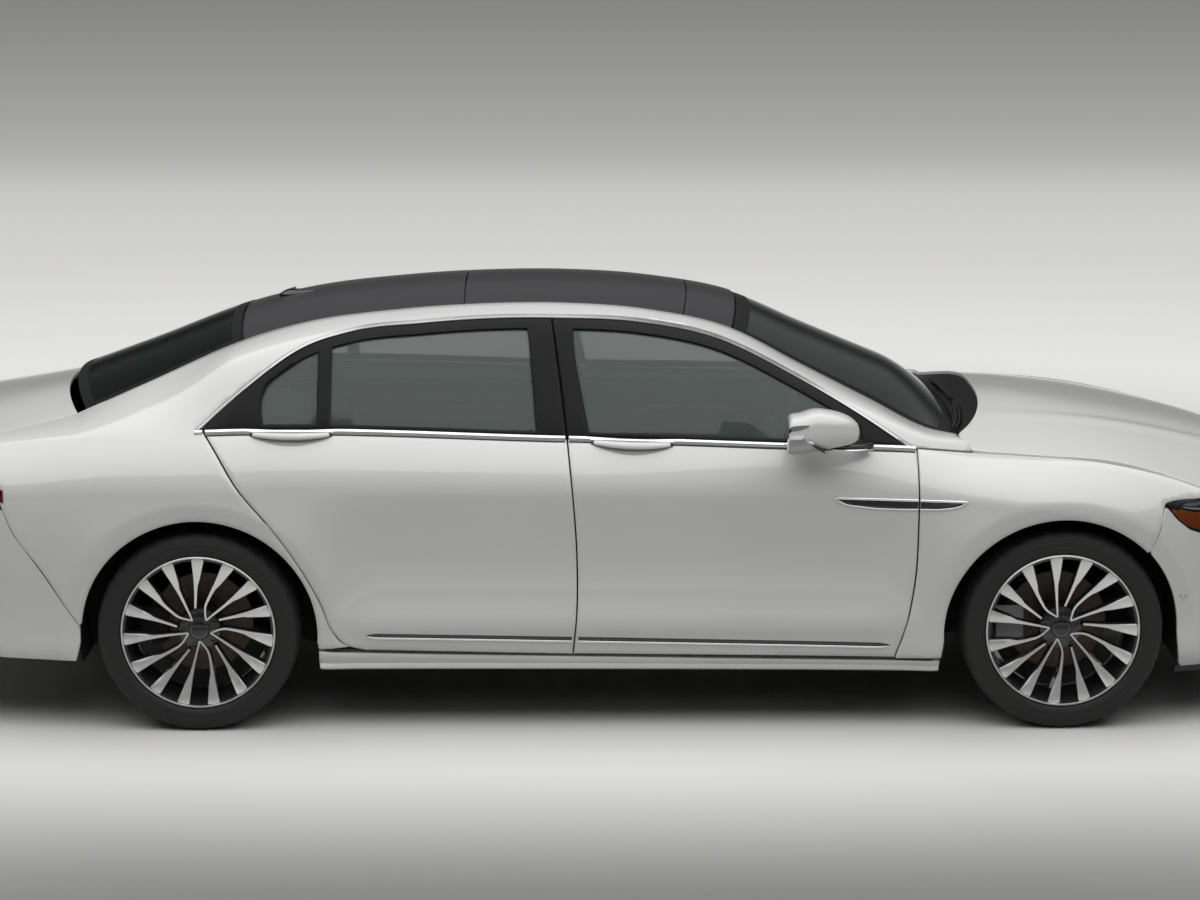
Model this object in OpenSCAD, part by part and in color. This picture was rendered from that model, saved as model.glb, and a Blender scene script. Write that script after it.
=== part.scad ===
// Full-size luxury sedan in millimetres, +X forward, +Y left, +Z up.
// Ground is z = 0 and the origin lies under the middle of the car.

/* [Body] */
// distance between the front and rear axles
wheelbase = 2994; // [2700:1:3200]
// front axle ahead of the middle of the car
front_axle_x = 1568; // [1400:1:1700]
// factor on the widths of the body shell
width_k = 1.0; // [0.9:0.01:1.1]
// thickness of the fixed outer panels
panel_t = 24; // [8:1:60]
// thickness of a door below the glass
door_t = 105; // [60:1:140]
// shut gap between doors and their neighbours
gap = 8; // [6:0.5:12]

/* [Wheels] */
// height of the hubs over the ground
hub_z = 350; // [300:1:380]
// outer radius of the tyres
tyre_r = 350; // [320:1:370]
// width of the tyres
tyre_w = 245; // [205:5:275]
// radius of the rim flange
rim_r = 268; // [230:1:280]
// distance of the tyre middle from the centre plane
track_y = 806; // [740:1:830]
// count of spokes in a wheel
spokes = 15; // [10:5:20]
// radius of the wheel arches
arch_r = 412; // [390:1:430]

/* [Cabin] */
// height of the cabin floor
floor_z = 215; // [190:1:260]
// diameter of the steering wheel
steer_d = 372; // [340:1:400]

/* [Detail] */
// steps along the length of a body panel
nu = 16; // [8:1:40]
// steps across the height of a body panel
nv = 6; // [3:1:20]
// radius of the socket for a towing eye
tow_r = 9; // [6:0.5:12]

/* [Hidden] */
rear_axle_x = front_axle_x - wheelbase;
$fn = 48;

// smooth curve through points p at position t, 0 to len(p) - 1
function cr(p, t) =
    let (n = len(p) - 1, i = min(floor(t), n - 1), f = t - i,
         a = p[max(i - 1, 0)], b = p[i], c = p[i + 1], d = p[min(i + 2, n)],
         m0 = (c - a) / 2, m1 = (d - b) / 2)
    b * (2 * f * f * f - 3 * f * f + 1) + m0 * (f * f * f - 2 * f * f + f)
    + c * (3 * f * f - 2 * f * f * f) + m1 * (f * f * f - f * f);
function curve(p, n) = [for (i = [0 : n]) cr(p, i * (len(p) - 1) / n)];
// smooth value at x of a rising list of [x, value]
function spl(p, x) =
    let (n = len(p) - 1,
         i = x <= p[0][0] ? 0 : x >= p[n][0] ? n - 1
             : max([for (k = [0 : n - 1]) if (p[k][0] <= x) k]),
         a = p[max(i - 1, 0)], b = p[i], c = p[i + 1], d = p[min(i + 2, n)],
         h = c[0] - b[0], f = min(max((x - b[0]) / h, 0), 1),
         m0 = i == 0 ? (c[1] - b[1]) / h : (c[1] - a[1]) / (c[0] - a[0]),
         m1 = i == n - 1 ? (c[1] - b[1]) / h : (d[1] - b[1]) / (d[0] - b[0]))
    b[1] * (2 * f * f * f - 3 * f * f + 1) + h * m0 * (f * f * f - 2 * f * f + f)
    + c[1] * (3 * f * f - 2 * f * f * f) + h * m1 * (f * f * f - f * f);
function mix(a, b, t) = a + (b - a) * t;

// half width in plan
function plan_w(x) = width_k * spl([[-2560, 560], [-2450, 740], [-2200, 880],
    [-1900, 935], [-1426, 953], [-600, 950], [600, 950], [1568, 956],
    [1900, 930], [2200, 845], [2450, 640], [2560, 380]], x);
// belt and shoulder height, running on as hood and boot shut lines
function belt_z(x) = spl([[-2440, 922], [-2300, 956], [-2124, 985], [-1746, 1022], [-1437, 1041],
    [-139, 1021], [584, 1002], [1057, 984], [1257, 962], [1418, 951],
    [1752, 922], [1902, 887], [2044, 839], [2200, 775],
    [2400, 690], [2560, 640]], x);
// inset of the surface at the belt
function belt_in(x) = spl([[-2440, 50], [-2300, 84], [-2124, 110], [-1746, 105], [-1437, 108],
    [-139, 96], [1057, 100], [1257, 150], [1752, 112], [2044, 78],
    [2200, 60]], x);
// height where the side begins to roll inward
function crease_z(x) = spl([[-2200, 800], [-960, 850], [-123, 850],
    [991, 825], [1568, 760], [2044, 660]], x);
// upper edge of the window surround
function rail_low(x) = spl([[-1437, 1041], [-1278, 1177], [-1075, 1317],
    [-903, 1370], [-660, 1396], [-382, 1412], [-173, 1412], [105, 1398],
    [384, 1344], [660, 1217], [865, 1103], [1053, 982]], x);
function rail_low_y(x) = side_y(x, rail_low(x));
// edge between painted roof rail and dark roof
function rail_top(x) = spl([[-1856, 1073], [-1611, 1176], [-1295, 1312],
    [-1085, 1372], [-734, 1420], [-454, 1438], [-173, 1441], [142, 1417],
    [440, 1350], [667, 1238], [911, 1120], [1119, 1024], [1206, 1008]], x);
function rail_top_y(x) = width_k * spl([[-1856, 600], [-1611, 548], [-1295, 505],
    [-734, 475], [-173, 470], [440, 500], [667, 550], [911, 612],
    [1119, 685], [1206, 705]], x);
// rise of the centre line over the rail
function crown(x) = spl([[-1913, 62], [-1609, 66], [-1343, 58], [-1048, 46],
    [-520, 42], [54, 42], [282, 48], [509, 58], [731, 74], [993, 92],
    [1206, 96]], x);
// inset of the lower side by height
function low_in(z) = spl([[190, 95], [215, 66], [250, 42], [300, 31], [345, 33],
    [430, 26], [560, 8], [680, 0], [900, 0]], z);
// share of the belt inset from the door crease (u = 0) over the shoulder to the belt (u = 1)
function roll(x, u) = mix(pow(u, 1.9), 0.2 * u + 0.14 * u * u + 0.66 * pow(max(u - 0.58, 0) / 0.42, 1.5),
    spl([[-1700, 0], [-1000, 1], [950, 1], [1300, 0.1]], x));
// half width of the side surface at x and z
function side_y(x, z) =
    let (w = plan_w(x), zc = crease_z(x), zb = belt_z(x), ib = belt_in(x))
    z <= zc ? w - low_in(z)
    : z <= zb ? w - low_in(z) - ib * roll(x, (z - zc) / (zb - zc))
    : w - ib - (z - zb) * 0.55;

// grid of side points between two equally long rows of [x, z]
function side_grid(lo, hi, n) = [for (i = [0 : len(lo) - 1]) [for (j = [0 : n])
    let (q = mix(lo[i], hi[i], j / n)) [q[0], side_y(q[0], q[1]), q[1]]]];
// the same grid moved by v
function moved(g, v) = [for (r = g) [for (q = r) q + v]];

// closed shell between two point grids of one size
module shell(p, q, ring = false, flip = false) {
    a = len(p);
    b = len(p[0]);
    n = a * b;
    pts = concat([for (r = p) for (v = r) v], [for (r = q) for (v = r) v]);
    last = ring ? a - 1 : a - 2;
    quads = [for (i = [0 : last]) for (j = [0 : b - 2])
        let (k = (i + 1) % a) [i * b + j, k * b + j, k * b + j + 1, i * b + j + 1]];
    rim = concat(
        [for (i = [0 : last]) [i * b, ((i + 1) % a) * b]],
        [for (i = [0 : last]) [((i + 1) % a) * b + b - 1, i * b + b - 1]],
        ring ? [] : [for (j = [0 : b - 2]) [(a - 1) * b + j, (a - 1) * b + j + 1]],
        ring ? [] : [for (j = [0 : b - 2]) [j + 1, j]]);
    tri = concat(
        [for (f = quads) for (t = [[f[0], f[1], f[2]], [f[0], f[2], f[3]]]) t],
        [for (f = quads) for (t = [[f[2], f[1], f[0]], [f[3], f[2], f[0]]]) t + [n, n, n]],
        [for (e = rim) for (t = [[e[1], e[0], e[0] + n], [e[1], e[0] + n, e[1] + n]]) t]);
    polyhedron(pts, flip ? [for (t = tri) [t[2], t[1], t[0]]] : tri, convexity = 8);
}

// arc of the wheel arch round x from angle a0 to a1
function arch(x, a0, a1, n, r = arch_r) =
    [for (i = [0 : n]) let (a = mix(a0, a1, i / n)) [x + r * cos(a), 338 + r * sin(a)]];
// shut lines in side view, from bottom to top
door_front = [[985, 257], [1027, 394], [1052, 560], [1057, 720], [1058, 966]];
b_line = [[-130, 268], [-116, 433], [-116, 611], [-129, 817], [-150, 1024],
    [-173, 1207], [-201, 1396]];
door_rear = [[-849, 287], [-918, 308], [-962, 355], [-1002, 452], [-1068, 578],
    [-1168, 726], [-1270, 848], [-1365, 992], [-1400, 1041]];
hood_line = [[1058, 966], [1206, 962], [1257, 958], [1418, 951], [1555, 942],
    [1752, 922], [1870, 896], [1938, 876]];

// left or right copy of a left-hand piece
module sided(left) {
    if (left) children();
    else mirror([0, 1, 0]) children();
}

module fender(left) {
    lo = concat([[1147, 254]], arch(front_axle_x - 5, 186, 44, 13));
    hi = concat([for (q = curve(door_front, 5)) q + [gap / 2 + 1, 0]],
        [for (q = curve(hood_line, 9)) if (q[0] > 1070) q - [0, gap / 2 + 4]]);
    g = side_grid(lo, [for (i = [0 : 14]) hi[i]], nv);
    sided(left) shell(g, moved(g, [0, -panel_t / 2, 0]), flip = false);
}

// shut line of the boot lid on the left shoulder
function boot_y(x) = width_k * spl([[-2440, 640], [-2300, 690], [-2124, 695],
    [-1988, 655], [-1856, 602]], x);
function boot_z(x) = spl([[-2440, 955], [-2300, 985], [-2124, 1014], [-1988, 1040],
    [-1856, 1071]], x);
// foot of the C-pillar, from the window corner to the rear window
function c_foot(t) = let (a = [-1437, rail_low_y(-1437), 1041],
    b = [-1846, rail_top_y(-1846), rail_top(-1846)])
    mix(a, b, t) + [0, 14, 14] * 4 * t * (1 - t) * 0.4;
function on_side(q) = [q[0], side_y(q[0], q[1]), q[1]];

module quarter(left) {
    lo = concat([[-1003, 292]], arch(rear_axle_x + 4, -5, 176, 14),
        [[-1870, 424], [-1960, 566], [-2060, 704], [-2092, 758], [-2080, 850],
         [-2200, 876], [-2330, 888], [-2440, 896]]);
    edge = [for (t = [1, 1.8, 2.6, 3.4, 4.2, 5, 5.8, 6.6, 7.3, 8])
        on_side(cr(door_rear, t) - [gap / 2, 0])];
    foot = [for (t = [0.2, 0.45, 0.72, 1]) c_foot(t) + [0, 3, -7]];
    boot = [for (x = [-1890, -1910, -1935, -1975, -2025, -2045, -2075, -2200, -2330, -2440])
        [x, boot_y(x), boot_z(x)]];
    hi = concat(edge, foot, boot);
    g = [for (i = [0 : len(lo) - 1])
        let (h = hi[i], xb = mix(lo[i][0], h[0], 0.86), b = [xb, belt_z(xb) - 10],
             m = mix(on_side(b), h, 0.5) + [0, 8, 8])
        i < 10 ? [for (j = [0 : 6]) on_side(mix(lo[i], [h[0], h[2]], j / 6))]
        : concat([for (j = [0 : 4]) on_side(mix(lo[i], b, j / 4))], [m, h])];
    inner = [for (i = [0 : len(g) - 1]) [for (j = [0 : 6]) g[i][j] + (i < 10 || j < 5
        ? [0, -panel_t, 0] : j < 6 ? [0, -panel_t / 2, -18] : [0, 2, -panel_t])]];
    sided(left) shell(g, inner, flip = true);
}

// A-pillar, roof rail and C-pillar of one side
module roof_rail(left) {
    n = 22;
    g = [for (i = [0 : n]) let (u = i / n, xl = mix(1053, -1437, u), xu = mix(1200, -1846, u),
        a = [xl, rail_low_y(xl), rail_low(xl)], b = [xu, rail_top_y(xu), rail_top(xu)])
        [for (j = [0 : 3]) let (t = j / 3) mix(a, b, t) + [0, 14, 14] * 4 * t * (1 - t)
            * spl([[-1846, 0.3], [-1000, 1], [400, 1], [1200, 0.3]], mix(xl, xu, t))]];
    h = [for (r = g) [for (j = [0 : 3]) r[j] + [0, mix(-30, 5, j / 3), mix(0, -26, j / 3)]]];
    sided(left) shell(g, h, flip = true);
}

module sill(left) {
    x0 = -1012;
    x1 = 1142;
    top = [[x0, 286], [-849, 280], [-123, 264], [978, 247], [x1, 245]];
    row = [for (i = [0 : nu]) mix(x0, x1, i / nu)];
    lo = [for (x = row) [x, spl([[x0, 212], [-123, 208], [x1, 199]], x)]];
    hi = [for (x = row) [x, spl(top, x) - 4]];
    g = side_grid(lo, hi, 3);
    h = [for (r = g) [for (q = r) [q[0], 790, q[2]]]];
    sided(left) shell(g, h);
}

// thickness of a door at x and z, slimmer round the glass
function door_thick(x, z) = let (b = belt_z(x))
    z < b - 70 ? door_t : z > b - 5 ? 42 : mix(door_t, 42, (z - b + 70) / 65);

module b_pillar(left) {
    g = [for (i = [0 : 2]) [for (j = [0 : 12]) let (z = mix(262, 1388, j / 12),
        x = mix(-222, -62, i / 2) - 50 * (z - 262) / 1126)
        [x, side_y(x, z) - door_thick(x, z) - 34, z]]];
    sided(left) shell(g, moved(g, [0, -45, 0]));
}

// ring-shaped door between its outline and the window opening, both rows of [x, z]
module door_ring(left, outer, inner) {
    n = len(outer);
    steps = [0, 0.05, 0.3, 0.6, 0.88, 1];
    mid = [for (k = [0, 1]) (max([for (q = inner) q[k]]) + min([for (q = inner) q[k]])) / 2];
    flat = [for (i = [0 : n - 1]) [for (t = steps) mix(outer[i], inner[i], t)]];
    g = [for (r = flat) [for (q = r) [q[0], side_y(q[0], q[1]), q[1]]]];
    h = [for (i = [0 : n - 1]) [for (j = [0 : 5])
        let (q = flat[i][j], d = mid - outer[i], k = 20 / norm(d) * (1 - steps[j]),
             s = q + d * k)
        [s[0], side_y(s[0], s[1]) - door_thick(s[0], s[1]), s[1]]]];
    sided(left) shell(g, h, ring = true);
}

// rows of the front door: up the hinge edge, along the pillar and roof, down the rear edge
function under_rail(x, d) = rail_low(x) - d * norm([1, (rail_low(x + 10) - rail_low(x - 10)) / 20]);
front_top = [for (x = [1000, 900, 780, 650, 520, 384, 240, 80, -60, -185])
    [x, under_rail(x, gap + 3)]];
front_out = concat([for (q = curve(door_front, 6)) q - [gap / 2, 0]], front_top,
    [for (i = [6 : -1 : 0]) cr(b_line, i) + [gap / 2, i == 6 ? -8 : 0]],
    [for (x = [100, 350, 600, 850]) [x, spl([[-123, 271], [978, 257]], x)]]);
front_in = concat([[780, 1012], [800, 1012], [820, 1012], [840, 1012], [860, 1012],
    [880, 1012], [905, 1012]],
    [for (x = [860, 790, 700, 590, 470, 350, 210, 70, -60, -130]) [x, under_rail(x, gap + 38)]],
    [[-128, 1290], [-108, 1200], [-92, 1110], [-75, 1040], [-40, 1036], [0, 1034], [60, 1032]],
    [[220, 1028], [400, 1024], [560, 1020], [690, 1016]]);
// the same for the rear door, from the pillar edge round to the wheel arch
rear_out = concat([for (i = [0 : 6]) cr(b_line, i) - [gap / 2, i == 6 ? 6 : 0]],
    [for (x = [-330, -480, -640, -800, -930, -1075, -1200, -1300])
        [x, under_rail(x, gap + 3)]],
    [for (i = [8 : -1 : 0]) cr(door_rear, i) + [gap / 2 + (i > 6 ? 6 : 0), i == 8 ? -4 : 0]],
    [for (x = [-700, -500, -300]) [x, spl([[-849, 287], [-123, 271]], x)]]);
rear_in = concat([[-400, 1040], [-330, 1040], [-282, 1040], [-262, 1042], [-262, 1130], [-270, 1250],
    [-285, 1362]],
    [for (x = [-370, -500, -640, -780, -900, -1010, -1120, -1190])
        [x, under_rail(x, gap + 38)]],
    [[-1215, 1150], [-1235, 1110], [-1200, 1064], [-1140, 1062], [-1070, 1060], [-1000, 1058],
     [-930, 1056], [-860, 1054], [-780, 1052]],
    [[-690, 1048], [-590, 1045], [-490, 1042]]);

module front_door(left) { door_ring(left, front_out, front_in); }
module rear_door(left) { door_ring(left, rear_out, rear_in); }

// pane of a door between the top row of its opening and a straight lower edge
module pane(left, top, low_a, low_b) {
    n = len(top) - 1;
    all = concat(top, [low_a, low_b]);
    mid = [for (k = [0, 1]) (max([for (q = all) q[k]]) + min([for (q = all) q[k]])) / 2];
    g = [for (i = [0 : n]) [for (j = [0 : 3])
        let (p = mix(mix(low_a, low_b, i / n), top[i], j / 3),
             q = p + (mid - p) * 4 / norm(mid - p))
        [q[0], side_y(q[0], q[1]) - 16, q[1]]]];
    sided(left) shell(g, moved(g, [0, -6, 0]), flip = true);
}
module front_pane(left) {
    pane(left, [for (k = [7 : 16]) front_in[k]], [898, 1013], [-75, 1040]);
}
module rear_pane(left) {
    pane(left, [for (k = [6 : 16]) rear_in[k]], [-262, 1044], [-1200, 1066]);
}

// dome of rows between two rails: edge points e with a rise c at the middle
function dome(e, c, m) = [for (i = [0 : len(e) - 1]) [for (j = [-m : m]) let (v = j / m)
    [e[i][0] + c[i][0] * (1 - v * v), e[i][1] * v, e[i][2] + c[i][1] * (1 - v * v)]]];

module roof() {
    row = [for (i = [0 : nu]) mix(434, -1290, i / nu)];
    g = dome([for (x = row) [x, rail_top_y(x) - 2, rail_top(x)]],
        [for (x = row) [mix(30, -30, (434 - x) / 1724), crown(x)]], 5);
    shell(g, moved(g, [0, 0, -24]));
}

module windscreen() {
    row = [for (i = [0 : 9]) mix(1190, 442, i / 9)];
    g = dome([for (x = row) [x, rail_top_y(x) - 3, rail_top(x)]],
        [for (i = [0 : 9]) [mix(130, 30, i / 9), mix(60, 48, i / 9)]], 5);
    shell(g, moved(g, [-3, 0, -7]));
}

module rear_window() {
    row = [for (i = [0 : 8]) mix(-1299, -1838, i / 8)];
    g = dome([for (x = row) [x, rail_top_y(x) - 3, rail_top(x)]],
        [for (i = [0 : 8]) [mix(-30, -92, i / 8), mix(58, 66, i / 8)]], 5);
    shell(g, moved(g, [3, 0, -7]));
}

// hood surface
function hood_mid(x) = spl([[1206, 1104], [1264, 1090], [1492, 1070], [1873, 1016],
    [2256, 925], [2400, 872], [2500, 806]], x);
function hood_half(x) = plan_w(x) - belt_in(x) - gap - 4;
function hood_z(x, y) = let (m = hood_mid(x), e = belt_z(x) + 3)
    m - (m - e) * pow(min(abs(y) / hood_half(x), 1), 2.3);
function hood_tip(y) = 2488 - 440 * pow(min(abs(y) / 815, 1), 4.5);
function hood_heel(y) = 1216 + 122 * (1 - pow(min(abs(y) / 790, 1), 4));

module hood() {
    g = [for (i = [0 : 12]) [for (j = [-8 : 8]) let (v = j / 8, y0 = v * 800,
        x = mix(hood_heel(y0), hood_tip(y0), i / 12), y = v * min(hood_half(x), 800 + 30 * i / 12))
        [x, y, hood_z(x, y)]]];
    shell(g, moved(g, [0, 0, -22]), flip = true);
}

// lid edge, rail points from the rear window down to the bumper
lid_edge = [for (x = [-1872, -1960, -2060, -2160, -2280, -2400])
    [x, boot_y(x) - gap - 4, boot_z(x) + 1]];
lid_rows = concat(lid_edge, [[-2440, 618, 930], [-2462, 600, 880], [-2470, 590, 800],
    [-2466, 585, 722]]);
lid_rise = [[-94, 44], [-90, 48], [-86, 50], [-84, 50], [-90, 48], [-104, 44], [-100, 24],
    [-86, 6], [-82, 0], [-84, 0]];
lid_in = [[0, -20], [0, -20], [0, -20], [0, -20], [0, -20], [8, -20], [18, -14], [20, -4],
    [20, 0], [20, 0]];

module boot_lid() {
    g = dome(lid_rows, lid_rise, 5);
    h = [for (i = [0 : len(g) - 1]) [for (q = g[i]) q + [lid_in[i][0], 0, lid_in[i][1]]]];
    shell(g, h);
}

// outward direction of a plan row at point i
function plan_n(p, i) = let (t = p[min(i + 1, len(p) - 1)] - p[max(i - 1, 0)],
    u = [t[0], t[1]], s = p[0][0] > 0 ? -1 : 1) s * [u[1], -u[0]] / norm(u);
function other(p) = [for (i = [len(p) - 1 : -1 : 0]) [p[i][0], -p[i][1], p[i][2], p[i][3]]];
// wall that follows plan points [x, y, z low, z high], set in by height
function wall(p, n, t) = [for (i = [0 : len(p) - 1]) let (d = plan_n(p, i))
    [for (j = [0 : n]) let (z = mix(p[i][2], p[i][3], j / n), k = low_in(z) + t)
        [p[i][0] - d[0] * k, p[i][1] - d[1] * k, z]]];
function plan_row(x, a, b) = [x, plan_w(x), a, b];

module front_bumper() {
    half = concat([plan_row(1868, 616, 630), plan_row(1898, 580, 706),
        plan_row(1942, 500, 736), plan_row(1980, 400, 704), plan_row(2014, 215, 686),
        plan_row(2100, 208, 668),
        plan_row(2200, 206, 668), plan_row(2320, 205, 668), plan_row(2420, 205, 668)],
        [[2500, 576, 205, 664], [2524, 518, 205, 640], [2527, 508, 205, 402],
        [2556, 370, 205, 402],
        [2578, 190, 205, 402], [2586, 0, 205, 402]]);
    p = concat(half, [for (i = [1 : len(half) - 1]) other(half)[i]]);
    shell(wall(p, nv, 0), wall(p, nv, panel_t));
}

module rear_bumper() {
    half = concat([plan_row(-1842, 246, 352), plan_row(-1962, 248, 546),
        plan_row(-2096, 252, 736)],
        [[-2250, 858, 256, 782], [-2380, 790, 260, 776], [-2460, 690, 264, 748],
        [-2510, 560, 268, 706], [-2543, 330, 272, 706], [-2556, 0, 272, 706]]);
    p = concat(half, [for (i = [1 : len(half) - 1]) other(half)[i]]);
    shell(wall(p, nv, 0), wall(p, nv, panel_t), flip = true);
}

module headlamp(left) {
    lo = [for (q = [[1952, 746], [2000, 708], [2060, 688], [2140, 676], [2230, 676],
        [2320, 676], [2400, 676], [2450, 676]]) [q[0], plan_w(q[0]) - 4, q[1]]];
    hi = concat([[1926, side_y(1926, 792), 792], [1994, side_y(1994, 834), 834],
        [2060, hood_half(2060) + gap + 6, hood_z(2060, 800) - 8]],
        [for (y = [772, 715, 655, 595, 540]) let (x = hood_tip(y) + gap + 7)
            [x, y, hood_z(x, y) - 6]]);
    g = [for (i = [0 : 7]) [for (j = [0 : 4]) let (t = j / 4) mix(lo[i], hi[i], t)
        + [i > 2 ? 14 : 0, i < 4 ? 8 : 4, 6] * 4 * t * (1 - t)]];
    h = [for (r = g) [for (j = [0 : 4]) r[j] + mix([-34, -30, 0], [6, 5, -34], j / 4)]];
    sided(left) shell(g, h);
}

module tail_lamp(left) {
    lo = [[-2096, 0, 800], [-2200, 0, 790], [-2330, 0, 788], [-2420, 0, 788], [-2470, 0, 788]];
    hi = [[-2090, 0, 842], [-2200, 0, 866], [-2330, 0, 878], [-2420, 0, 882], [-2470, 0, 884]];
    w = [plan_w(-2093) - 2, plan_w(-2200) - 6, plan_w(-2330) - 16, plan_w(-2420) - 36, 612];
    g = [for (i = [0 : 4]) [for (j = [0 : 3]) mix(lo[i], hi[i], j / 3) + [0, w[i], 0]]];
    h = [for (i = [0 : 4]) [for (q = g[i]) q + [mix(4, 30, i / 4), mix(-28, 0, i / 4), 0]]];
    sided(left) shell(g, h, flip = true);
}

// lattice on a cylinder about an upright axis behind the nose
grille_r = 2470;
module grille() {
    a = 11.6;
    intersection() {
        translate([80, 0, 412]) rotate([0, 0, -a]) rotate_extrude(angle = 2 * a, $fn = 180)
            translate([grille_r - 40, 0]) square([40, 288]);
        union() {
            for (z = [412, 458, 504, 550, 596, 642, 687])
                translate([2000, -520, z]) cube([600, 1040, 14]);
            for (k = [-8 : 8])
                translate([80, 0, 400]) rotate([0, 0, k * 1.4]) translate([2300, -6, 0])
                    cube([200, 12, 340]);
        }
    }
}

module grille_header() {
    rows = [for (j = [-6 : 6]) let (y = j * 84, x = 80 + sqrt(grille_r * grille_r - y * y),
        xt = hood_tip(y) + gap + 2)
        [for (t = [0, 0.5, 1]) mix([x + 2, y, 706], [xt, y, hood_z(xt, y) - 4], t)
            + [12, 0, 8] * 4 * t * (1 - t)]];
    back = [for (r = rows) [for (j = [0 : 2]) r[j] + mix([-36, 0, 0], [-4, 0, -14], j / 2)]];
    shell(rows, back, flip = true);
}

// solid through closed rings of points, flat at both ends
module loft(rings, flip = false) {
    n = len(rings[0]);
    m = len(rings);
    tri = concat(
        [for (i = [0 : m - 2]) for (j = [0 : n - 1])
            let (a = i * n + j, b = i * n + (j + 1) % n, c = b + n, d = a + n)
            for (t = [[a, b, c], [a, c, d]]) t],
        [for (j = [1 : n - 2]) [0, j + 1, j]],
        [for (j = [1 : n - 2]) [(m - 1) * n, (m - 1) * n + j, (m - 1) * n + j + 1]]);
    polyhedron([for (r = rings) for (v = r) v],
        flip ? [for (t = tri) [t[2], t[1], t[0]]] : tri, convexity = 4);
}
// rounded box outline across X: centre, half depth, half height
function pillow(c, d, h, n) = [for (k = [0 : n - 1]) let (a = 360 * k / n, u = cos(a), v = sin(a),
    r = pow(pow(abs(u), 3) + pow(abs(v), 3), -1 / 3)) c + [0, d * u * r, h * v * r]];

module mirror_housing(left) {
    rings = [for (q = [[601, 1053, 77, 56], [612, 1057, 82, 65], [690, 1072, 85, 72],
        [745, 1075, 80, 64], [792, 1071, 66, 52], [825, 1066, 48, 38], [845, 1062, 18, 14]])
        pillow([q[0], 1002, q[1]], q[2], q[3], 16)];
    sided(left) {
        loft(rings, flip = true);
        block([760, 862, 1004], [850, 990, 1026]);
        block([740, 945, 1008], [800, 985, 1060]);
    }
}

// block from its low to its high corner
module block(a, b) { translate(a) cube(b - a); }
// round bar along Y
module bar_y(p, r, l) { translate(p) rotate([-90, 0, 0]) cylinder(r = r, h = l); }
// round bar along X
module bar_x(p, r, l) { translate(p) rotate([0, 90, 0]) cylinder(r = r, h = l); }

module floor_pan() {
    block([-1010, -782, floor_z - 12], [1148, 782, floor_z + 14]);
    block([-960, -120, floor_z], [1148, 120, 318]);
    block([-1010, -552, floor_z], [-970, 552, 412]);
    block([-2436, -552, 384], [-970, 552, 412]);
    block([-2436, -552, 384], [-2412, 552, 690]);
    block([-1850, 540, 400], [-1150, 552, 800]);
    block([-1850, -552, 400], [-1150, -540, 800]);
    for (x = [-880, 900], y = [-710, 710])
        block([x - 35, y - 35, 190], [x + 35, y + 35, floor_z]);
}

// socket for a towing eye on a bracket under the boot floor
module tow_socket() {
    difference() {
        union() {
            block([-2430, 330, 222], [-2390, 370, 384]);
            bar_x([-2500, 350, 228], 17, 100);
        }
        bar_x([-2510, 350, 228], tow_r, 70);
    }
}

module firewall() {
    block([1150, -582, floor_z + 16], [1172, 582, 945]);
    block([1150, -770, 776], [1172, 770, 945]);
    block([1150, -690, 920], [1318, 690, 945]);
}

// both halves of an outline across the car, given for the left from bottom to top
function both(half) = concat(half, [for (i = [len(half) - 1 : -1 : 0]) [-half[i][0], half[i][1]]]);
// bar along X with a section of [y, z]
module section_x(x, l, half) {
    translate([x, 0, 0]) rotate([90, 0, 90]) linear_extrude(l) polygon(both(half));
}

// V engine with gearbox bell, heads, plenum with runners, top cover and pulleys
module engine() {
    section_x(1384, 476, [[150, 372], [190, 440], [200, 520], [330, 636], [292, 716], [206, 690],
        [110, 600]]);
    for (k = [-1, 1]) translate([1400, k * 262, 668]) rotate([-k * 42, 0, 0])
        block([0, -78, -10], [440, 78, 62]);
    section_x(1440, 360, [[150, 590], [176, 700], [206, 760], [170, 822]]);
    for (i = [0 : 2]) section_x(1462 + 120 * i, 76, [[190, 690], [244, 742], [176, 832]]);
    translate([1430, -190, 826]) cube([390, 380, 40]);
    section_x(1480, 320, [[110, 326], [130, 380]]);
    bar_x([1855, 0, 470], 92, 40);
    for (q = [[-150, 560, 52], [152, 585, 44]]) bar_x([1855, q[0], q[1]], q[2], 34);
    translate([1180, 0, 470]) rotate([0, 90, 0]) cylinder(r1 = 112, r2 = 168, h = 206);
}

module front_subframe() {
    for (k = [-1, 1]) {
        block([1176, k * 415 - 35, 300], [2290, k * 415 + 35, 400]);
        block([front_axle_x - 60, k * 505 - 115, 246], [front_axle_x + 60, k * 505 + 115, 282]);
    }
    block([front_axle_x - 90, -440, 250], [front_axle_x + 90, 440, 310]);
    block([2230, -440, 310], [2290, 440, 390]);
    block([2280, -470, 300], [2340, 470, 690]);
    bar_y([front_axle_x - 140, -430, 330], 24, 860);
    for (k = [-1, 1]) {
        strut([front_axle_x, k * 528, 276], 190, 5);
        translate([front_axle_x, k * 528, 460]) cylinder(r = 26, h = 330);
        translate([front_axle_x, k * 528, 770]) cylinder(r = 56, h = 16);
    }
}
// spring round a damper: a tube with rings, standing on p
module strut(p, h, n) {
    translate(p) {
        cylinder(r = 34, h = h);
        for (i = [1 : n]) translate([0, 0, i * h / n - 12]) cylinder(r = 54, h = 12);
    }
}

module knuckle_parts() {
    bar_y([0, 600, hub_z], 30, 250);
    block([-45, 628, 215], [45, 680, 485]);
    block([-215, 676, hub_z - 60], [-110, 706, hub_z + 60]);
    block([-120, 640, hub_z - 40], [0, 690, hub_z + 40]);
    block([-215, 676, hub_z - 60], [-190, 782, hub_z + 60]);
    block([-215, 752, hub_z - 60], [-120, 782, hub_z + 60]);
}
module knuckle(left) {
    sided(left) translate([front_axle_x, 0, 0]) knuckle_parts();
}

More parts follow.
